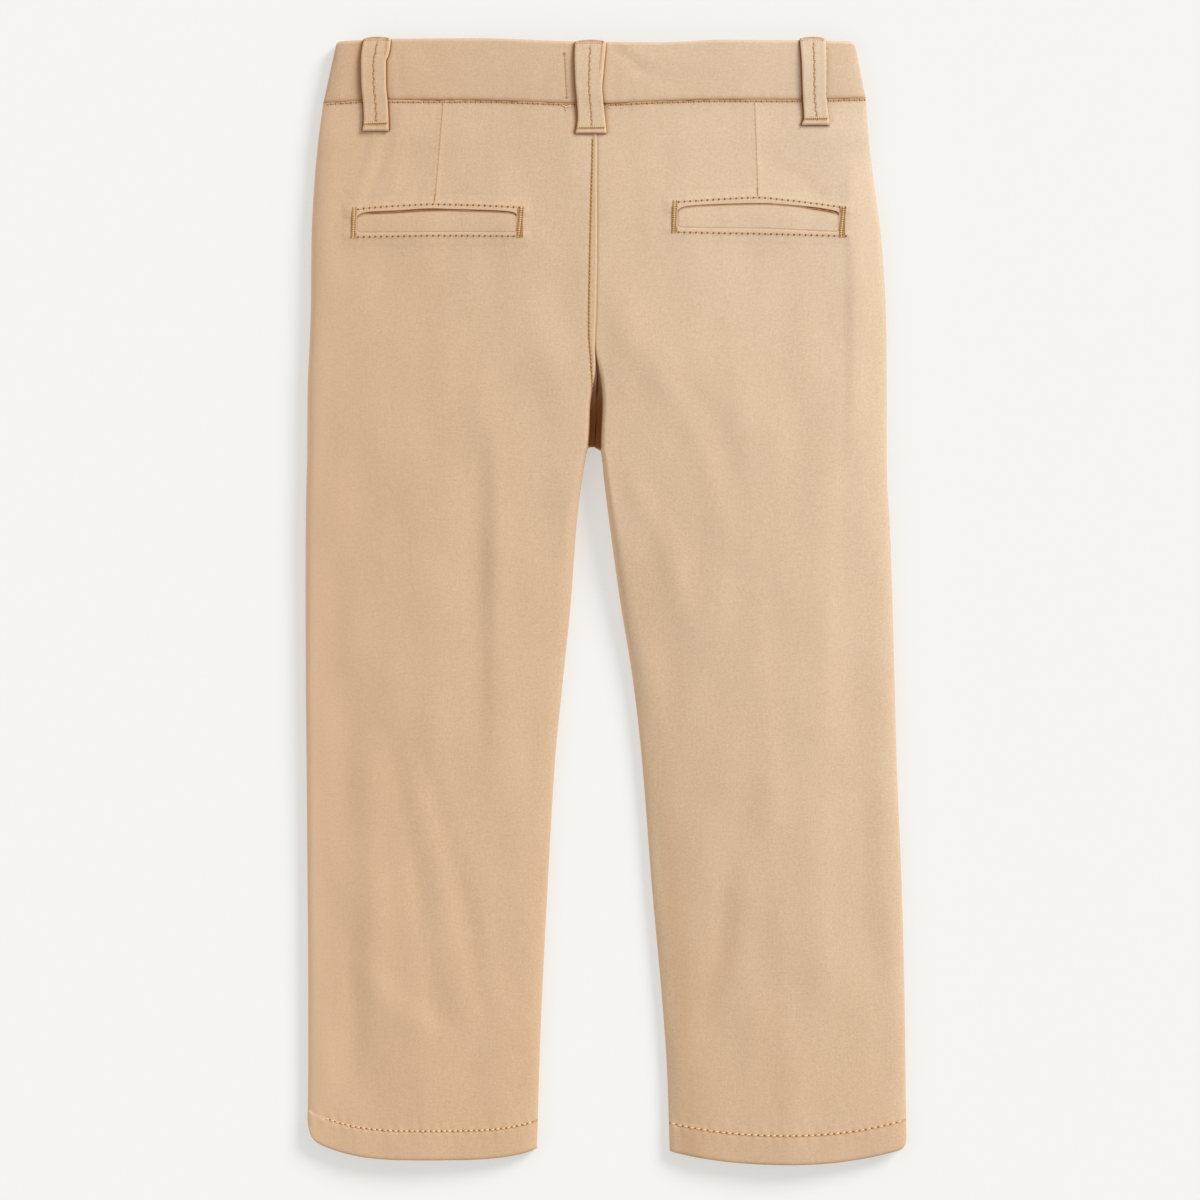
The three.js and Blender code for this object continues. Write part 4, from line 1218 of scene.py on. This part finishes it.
def walk(path, pitch):
    """Points every pitch along a line of points, and the unit direction at each."""
    path = np.asarray(path, float)
    steps = np.hypot(*np.diff(path, axis=0).T)
    run = np.concatenate([[0], np.cumsum(steps)])
    at = np.arange(pitch / 2, run[-1], pitch)
    spots = np.stack([np.interp(at, run, path[:, i]) for i in (0, 1)], axis=1)
    ahead = np.stack([np.interp(at + pitch / 4, run, path[:, i]) for i in (0, 1)], axis=1)
    behind = np.stack([np.interp(at - pitch / 4, run, path[:, i]) for i in (0, 1)], axis=1)
    way = ahead - behind
    return spots, way / np.linalg.norm(way, axis=1, keepdims=True)


# A stitch's rings from end to end: place as a share of half its length, size, and dip in radii
RING_SIDES = 6
RING_PLACES = np.array([-1.0, -0.8, -0.35, 0.35, 0.8, 1.0])
RING_SIZES = np.array([0.35, 0.8, 1.0, 1.0, 0.8, 0.35])
RING_DIPS = np.array([-1.3, -0.55, 0.0, 0.0, -0.55, -1.3])


def stitch_points(spots, ways, surface, length, radius, lift, slant=0.0):
    """Points and faces of many stitches, each a short spindle whose ends dive into the cloth.

    A ring's centre is the spot plus its share of the length along the stitch, at the cloth's height there;
    its corners lie round it, across the stitch and up.
    """
    if slant:
        turned = np.stack([-ways[:, 1], ways[:, 0]], axis=1)
        ways = ways * np.cos(slant) + turned * np.sin(slant)
    count = len(spots)
    centres = spots[:, None] + ways[:, None] * (RING_PLACES[None, :, None] * length / 2)
    heights = surface(centres[..., 0], centres[..., 1]) + lift + RING_DIPS[None] * radius
    turn = 2 * PI * np.arange(RING_SIDES) / RING_SIDES
    side = np.stack([-ways[:, 1], ways[:, 0]], axis=1)[:, None, None]
    size = radius * RING_SIZES[None, :, None]
    flat = centres[:, :, None] + side * (size * np.cos(turn)[None, None])[..., None]
    up = heights[:, :, None] + size * np.sin(turn)[None, None]
    points = np.concatenate([flat, up[..., None]], axis=3).reshape(-1, 3)
    rings = len(RING_PLACES)
    r, s = np.meshgrid(np.arange(rings - 1), np.arange(RING_SIDES), indexing="ij")
    following = (s + 1) % RING_SIDES
    one = np.stack([r * RING_SIDES + s, (r + 1) * RING_SIDES + s, (r + 1) * RING_SIDES + following,
                    r * RING_SIDES + following], axis=-1).reshape(-1, 4)
    last = (rings - 1) * RING_SIDES
    caps = np.array([[0, 1, 2, 3], [0, 3, 4, 5], [last + 3, last + 2, last + 1, last],
                     [last + 5, last + 4, last + 3, last]])
    one = np.concatenate([one, caps])
    faces = (one[None] + (np.arange(count) * rings * RING_SIDES)[:, None, None]).reshape(-1, 4)
    return points, faces


def joined(parts):
    """Several sets of points and faces as one."""
    points, faces = zip(*parts)
    offsets = np.cumsum([0] + [len(p) for p in points[:-1]])
    return np.concatenate(points), np.concatenate([f + offset for f, offset in zip(faces, offsets)])


def line_between(start, end, steps=40):
    """A straight path."""
    return np.linspace(start, end, steps)


# How each kind of row is sewn: the length of a repeat, the stitch's share of it, its radius, how proud it
# stands, how far it slants, and the radius of the dark dots of painted shade at the needle holes between
# stitches
STITCH_COLUMNS = ("pitch", "cover", "radius", "lift", "slant", "holes")
STITCHES = {
    "waist": (2.7, 0.62, 0.3, 0.12, 0.3, 0.5),
    "waist_fleck": (4.05, 0.25, 0.26, 0.1, 0.5, 0),
    "seat": (2.1, 0.95, 0.4, 0.16, 0.32, 0.4),
    "hem": (2.8, 0.72, 0.46, 0.28, 0.25, 0.48),
    "pocket_row": (POCKET_PITCH, 0.6, 0.22, 0.02, 0, 0.57),
    "pocket_bartack": (1.15, 1.15, 0.32, 0.08, 0, 0),
    "loop_middle": (2.25, 0.7, 0.28, 0.1, 0.6, 0.34),
    "loop_bartack": (1.1, 1.1, 0.36, 0.12, 0, 0),
    "loop_top": (1.3, 0.9, 0.24, 0.1, 0.9, 0),
    "tack_row": (2.0, 1.0, 0.2, 0, 0, 0),
    "tack_end": (0.7, 2.2, 0.24, 0.08, 1.2, 0),
    "fray": (0.7, 1.7, 0.24, 0.3, 0, 0),
}
HEM_PITCH = {"left": 2.8, "right": 3.3}
HEM_STITCH_STARTS = {"left": 9.0, "right": 2.0}  # from the outer edge; further out there is only a crease
# The three threads of a pocket's bartack: place across it, slant, thread, and the radius of the painted-shade
# dots at its needle holes
POCKET_BARTACK = (
    (-0.8, 0.75, "bartack_thread", 0.22),
    (0.1, -0.9, "hem_thread", 0),
    (0.85, 0.6, "bartack_thread", 0.22),
)
POCKET_BARTACK_LEANS = (0.4, 0.8)  # how far the left and the right one lean
# The two threads of a loop's bartack: place along the loop, slant, and thread
LOOP_BARTACK = ((-0.3, 1.0, "bartack_thread"), (0.35, -0.8, "hem_thread"))
# Loose ends of thread at the waist seam either side of the centre loop: both ends, and the bow
FRAYS = (
    (-22.6, 257.6, -20.8, 255.2, 0.4),
    (-21.0, 256.9, -18.4, 257.7, -0.5),
    (-19.0, 256.4, -16.8, 257.2, 0.4),
    (-1.0, 256.6, 0.8, 257.1, 0.3),
    (1.6, 256.4, 3.4, 256.9, -0.4),
    (7.6, 256.0, 8.6, 256.4, 0.3),
)


class Sewing:
    """Gathers stitches by thread, and the dark dots of painted shade at the needle holes, so that each group
    becomes one mesh.
    """

    def __init__(self):
        self.parts = {}

    def run(self, group, kind, path, surface, **changes):
        """Sews a row of one kind along a path on a surface; changes replace some of the kind's sizes."""
        size = {**dict(zip(STITCH_COLUMNS, STITCHES[kind])), **changes}
        spots, ways = walk(path, size["pitch"])
        length = size["pitch"] * size["cover"]
        row = stitch_points(spots, ways, surface, length, size["radius"], size["lift"], size["slant"])
        self.parts.setdefault(group, []).append(row)
        # Dark spindles of painted shade stand at the needle holes between stitches
        holes = size["holes"]
        if holes:
            gaps = spots + ways * size["pitch"] / 2
            dots = stitch_points(gaps, ways, surface, holes * 2.2, holes, -0.2 * holes)
            self.parts.setdefault("needle_hole_shade_dots", []).append(dots)


def sew_waist_and_seat(sewing):
    """The row under the waistband, with a few golden flecks beside it, and the centre seam's topstitching."""
    x = np.linspace(-146, 134, 300)
    below = mix(0.75, 1.25, ease(x, -118, -108)) - 0.35 * ease(x, -90, -60)
    waist = np.stack([x, read(WAIST_LINES, "x", "seam", x) - below], axis=1)
    sewing.run("seam_thread", "waist", waist, back_surface)
    flecks = waist - (0, 0.5)
    sewing.run("hem_thread", "waist_fleck", flecks, back_surface)
    y = np.linspace(240.5, 108, 200)
    centre = np.stack([read(SEAT_STITCHES, "y", "x", y), y], axis=1)
    sewing.run("seam_thread", "seat", centre, back_surface)


def sew_hem(sewing, side):
    """A hem's row, which follows the hem's bend and ends just inside the inner edge."""
    height = LEGS[side]["low"] + HEM_DEPTH
    outer, inner, way, _ = edges_of(side, height)
    x = np.linspace(outer + way * HEM_STITCH_STARTS[side], inner - way * 2.0, 160)
    path = np.stack([x, height + bend(side, x, height)], axis=1)
    sewing.run("hem_thread", "hem", path, back_surface, pitch=HEM_PITCH[side])


def sew_pocket(sewing, side):
    """A pocket's two rows of stitches with painted-shade dots at their needle holes, and a bartack of three
    threads at each end.
    """

    def on_pocket(x, y):
        return pocket_surface(side, x, y)

    rows = POCKETS[side]
    start, end = POCKET_ENDS[side]
    x = np.linspace(start - POCKET_OVERRUN, end + POCKET_OVERRUN, 160)
    for line in ("stitch_top", "stitch_low"):
        path = np.stack([x, read(rows, "x", line, x)], axis=1)
        sewing.run("pocket_thread", "pocket_row", path, on_pocket)
    for x_end, lean in zip((start - 2.0, end + 2.0), POCKET_BARTACK_LEANS):
        bottom = read(rows, "x", "stitch_low", x_end) - 0.7
        top = read(rows, "x", "stitch_top", x_end) + 0.7
        for shift, slant, group, holes in POCKET_BARTACK:
            path = line_between((x_end + shift - lean, bottom), (x_end + shift + lean, top))
            sewing.run(group, "pocket_bartack", path, on_pocket, slant=slant, holes=holes)


def sew_loop(sewing, which):
    """A belt loop's weaving middle row, the bartack near its lower end and the row near its upper one."""

    def on_loop(x, y):
        return loop_height(which, x, y)[0]

    def edges_at(y):
        return read(rows, "y", "left", y), read(rows, "y", "right", y)

    rows = LOOPS[which]
    low, top = rows["y"][0], rows["y"][-1]
    y = np.linspace(low + LOOP_BARTACKS[which] + 0.8, top - LOOP_TOP_STITCH - 0.5, 60)
    left, right = edges_at(y)
    middle = np.stack([(left + right) / 2 + 0.25 * np.sin(2 * PI * y / 4.5), y], axis=1)
    sewing.run("seam_thread", "loop_middle", middle, on_loop)
    height = low + LOOP_BARTACKS[which]
    left, right = edges_at(height)
    for shift, slant, group in LOOP_BARTACK:
        path = line_between((left + 0.5, height + shift), (right - 0.5, height + shift + 0.3))
        sewing.run(group, "loop_bartack", path, on_loop, slant=slant)
    height = top - LOOP_TOP_STITCH
    left, right = edges_at(height)
    path = line_between((left + 0.7, height + 0.3), (right - 1.0, height + 0.3))
    sewing.run("seam_thread", "loop_top", path, on_loop)


def sew_back(sewing):
    """All stitching on the back: seams, hems, pockets, loops, the tack beside a loop, and loose ends."""
    sew_waist_and_seat(sewing)
    for side in ("left", "right"):
        sew_hem(sewing, side)
        sew_pocket(sewing, side)
    for which in LOOPS:
        sew_loop(sewing, which)
    sewing.run("seam_thread", "tack_row", line_between(*TACK), band_surface)
    for spot in TACK:
        path = line_between((spot[0] - 0.7, spot[1]), (spot[0] + 0.7, spot[1]), 4)
        sewing.run("seam_thread", "tack_end", path, band_surface)
    for x0, y0, x1, y1, bow in FRAYS:
        share = np.linspace(0, 1, 12)
        bulge = bow * 4 * share * (1 - share)
        path = np.stack([mix(x0, x1, share) + bulge, mix(y0, y1, share) + bulge], axis=1)
        sewing.run("hem_thread", "fray", path, back_surface)


# Darts

DART_HALF = 3.6  # half the width of a dart's laid cloth


def dart(side, material):
    """A sewn dart: a narrow tuck whose pressed edge ends at a fine line, fading out at its point."""
    (x1, y1), (x0, y0) = DARTS[side]
    along = np.linspace(0, 1, 96)[:, None]
    across = np.linspace(-DART_HALF, DART_HALF, 49)[None]
    x = mix(x0, x1, along) + across
    y = np.broadcast_to(mix(y0, y1, along), x.shape)
    fade = ease(np.abs(across), 3.5, 0.6) * ease(along, 0.02, 0.1) * ease(along, 1.0, 0.97)
    tuck = np.where(across > 0, 0.16, 0.1) - 0.2 * bump_at(across, 0, 0.34)
    tuck = tuck + 0.03 * np.sin(2 * PI * y / 2.6) * bump_at(across, 0, 1.2)
    under, worn_and_shaded = back_finish(x, y)
    points = np.stack([x, y, under + feather(DART_HALF - np.abs(across)) + tuck * fade], axis=2)
    wear_and_shade = worn_and_shaded + dart_line(side, x, y) * ease(along, 1.0, 0.98)
    return cloth_piece(f"dart_{side}", points, LAID_CLOTH, material, wear_and_shade, feathered=True)


# Underside


def front_panel(side, material):
    """A front panel flat on the floor: its outer and inside-leg edges turn up through a quarter circle."""
    low = LEGS[side]["low"]
    y = np.concatenate([np.linspace(low, low + 18, 12), np.linspace(low + 22, 74, 70),
                        [76, 78, 79, 79.4, 79.8, 80.2, 80.6, 82], np.linspace(86, 226, 40),
                        np.linspace(228, WAIST_SEAM_Y, 20)])[:, None]
    outer, _, way, width = edges_of(side, y)
    parted = legs_parted(y)
    rise = SIDE_SEAM_HEIGHT - SEAM_GAP / 2
    turn = np.linspace(0, PI / 2, 8)[None]
    outer_x = SIDE_SEAM_HEIGHT * (1 - np.cos(turn)) + 0 * y
    inner_x = width - outer_x[:, ::-1] - 0.1 * (1 - parted)
    share = np.linspace(0, 1, 50)[None, 1:-1]
    middle_x = mix(outer_x[:, -1:], inner_x[:, :1], share)
    distance = np.concatenate([outer_x, middle_x, inner_x], axis=1)
    up_outer = rise * (1 - np.sin(turn)) + 0 * y
    up_inner = up_outer[:, ::-1] * parted
    up = np.concatenate([up_outer, 0 * middle_x, up_inner], axis=1)
    x = outer + way * distance
    hem = 0.25 * bump_at(y - low, HEM_DEPTH, 0.8)
    points = np.stack([x, y + bend(side, x, y), up + front_lift(y) + hem + 0 * x], axis=2)
    if side == "left":
        points = points[:, ::-1]
    thickness = mix(CLOTH, HEM_CLOTH, ease(y - low, HEM_DEPTH + 0.6, HEM_DEPTH - 0.6))
    return cloth_piece(f"front_panel_{side}", points, thickness, material)


def waistband_front(side, material):
    """A front stretch of the waistband, turned up at the side seam and flat to the centre front."""
    way = 1 if side == "left" else -1
    share = np.linspace(0, 1, 16)[:, None]
    outer = band_ends(share)[0 if side == "left" else 1]
    turn = np.linspace(0, PI / 2, 8)[None]
    turned = outer + way * SIDE_SEAM_HEIGHT * (1 - np.cos(turn))
    centre = CENTRE_FRONT_X - way * 0.1
    flat = mix(turned[:, -1:], centre, np.linspace(0, 1, 60)[None, 1:])
    x = np.concatenate([turned, flat], axis=1)
    rise = (SIDE_SEAM_HEIGHT - SEAM_GAP / 2) * (1 - np.sin(turn)) + 0 * share
    up = np.concatenate([rise, 0 * flat], axis=1) + FRONT_WAIST_LIFT
    points = np.stack([x, band_y(x, share), up], axis=2)
    if side == "left":
        points = points[:, ::-1]
    return cloth_piece(f"waistband_front_{side}_cloth", points, BAND_CLOTH, material)


def flat_strip(name, edges, ends, height, lifted, thickness, material):
    """A flat strip whose outer face looks down; a lifted one follows the front's waist."""
    y = np.linspace(*ends, 60)[:, None]
    x = np.linspace(*edges[::-1], 16)[None]
    level = height + front_lift(y) if lifted else height
    points = np.stack([x + 0 * y, y + 0 * x, level + 0 * x + 0 * y], axis=2)
    return cloth_piece(name, points, thickness, material)


# A button's profile from its axis: the dished middle, the raised rim that faces down, and the back
BUTTON_PROFILE = table(
    ("radius", "height"),
    (0.02, 0.55),
    (4.6, 0.55),
    (5.6, 0.1),
    (6.9, 0.1),
    (7.4, 0.6),
    (7.1, 1.35),
    (0.02, 1.35),
)


def waist_button(material):
    """A turned button: a profile with a raised rim and a dished middle, carried round its axis."""
    radius, height = BUTTON_PROFILE["radius"][None], BUTTON_PROFILE["height"][None]
    turn = np.linspace(0, 2 * PI, 49)[:-1, None]
    x = CENTRE_FRONT_X + radius * np.cos(turn)
    y = BUTTON_Y + radius * np.sin(turn)
    points = np.stack([x, y, height + 0 * x], axis=2).reshape(-1, 3)
    count, rings = x.shape
    s, r = np.meshgrid(np.arange(count), np.arange(rings), indexing="ij")
    following, ahead = (s + 1) % count, (r + 1) % rings
    corners = [(s, r), (s, ahead), (following, ahead), (following, r)]
    faces = np.stack([spoke * rings + ring for spoke, ring in corners], axis=-1)
    return make_mesh("waist_button_turned", points, faces.reshape(-1, 4), material)


# Places of the flat strips: their left and right edges, lower and upper ends, and outer face's height
FRONT_LOOP_EDGES = {"left": (-92, -79), "right": (66, 79)}
FRONT_LOOP_ENDS, FRONT_LOOP_HEIGHT = (246, 291), 0.02
SHIELD_EDGES, SHIELD_ENDS, SHIELD_HEIGHT = (-21.6, 12.4), (150, 288), 3.15
ZIP_EDGES, ZIP_ENDS, ZIP_HEIGHT = (-8.6, -0.6), (158, 254), 1.65


# The garment

add_camera()
add_studio()

SAND = (0.622, 0.419, 0.257)
chino = twill("sand_twill", SAND)
welt_cloth = twill("pressed_twill", SAND)
ochre = thread("ochre_thread", (0.46, 0.25, 0.07))
golden = thread("golden_thread", (0.85, 0.62, 0.36))
pale_thread = thread("sand_thread", (0.66, 0.45, 0.26))
# Painted shade: the colour of the dark dots at the needle holes
hole_shade = thread("needle_hole_shade", (0.33, 0.125, 0.02), gloss=0.0)
horn = thread("horn", (0.16, 0.08, 0.035), twist=6.0)
tape = twill("zip_tape_weave", (0.42, 0.27, 0.14), weave_pitch=0.8)

for side in ("left", "right"):
    declare_cloth(back_panel(side, chino), f"back_{side}")
    declare_cloth(front_panel(side, chino), f"front_{side}")
    declare_cloth(waistband_front(side, chino), f"waistband_front_{side}")
    declare_cloth(pocket(side, welt_cloth), f"welt_{side}")
    tuck = dart(side, chino)
declare_cloth(waistband_back(chino), "waistband_back")
for which, panel in (("left", "left"), ("centre", "left"), ("right", "right")):
    declare_cloth(belt_loop(which, chino), f"loop_back_{which}")
    bed = loop_bed(which, chino)
for which, edges in FRONT_LOOP_EDGES.items():
    name = f"belt_loop_front_{which}"
    strip = flat_strip(name, edges, FRONT_LOOP_ENDS, FRONT_LOOP_HEIGHT, False, LOOP_CLOTH, chino)
    declare_cloth(strip, f"loop_front_{which}")
shield = flat_strip("fly_shield_cloth", SHIELD_EDGES, SHIELD_ENDS, SHIELD_HEIGHT, True, STRIP_CLOTH, chino)
declare_cloth(shield, "fly_shield")
zip_strip = flat_strip("fly_zip_tape", ZIP_EDGES, ZIP_ENDS, ZIP_HEIGHT, True, STRIP_CLOTH, tape)
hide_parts("fly_zip")
button = waist_button(horn)
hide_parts("waist_button")

sewing = Sewing()
sew_back(sewing)
THREADS = {
    "seam_thread": ochre,
    "hem_thread": golden,
    "pocket_thread": pale_thread,
    "bartack_thread": ochre,
    "needle_hole_shade_dots": hole_shade,
}
for group, parts in sewing.parts.items():
    stitched = make_mesh(group, *joined(parts), THREADS[group])
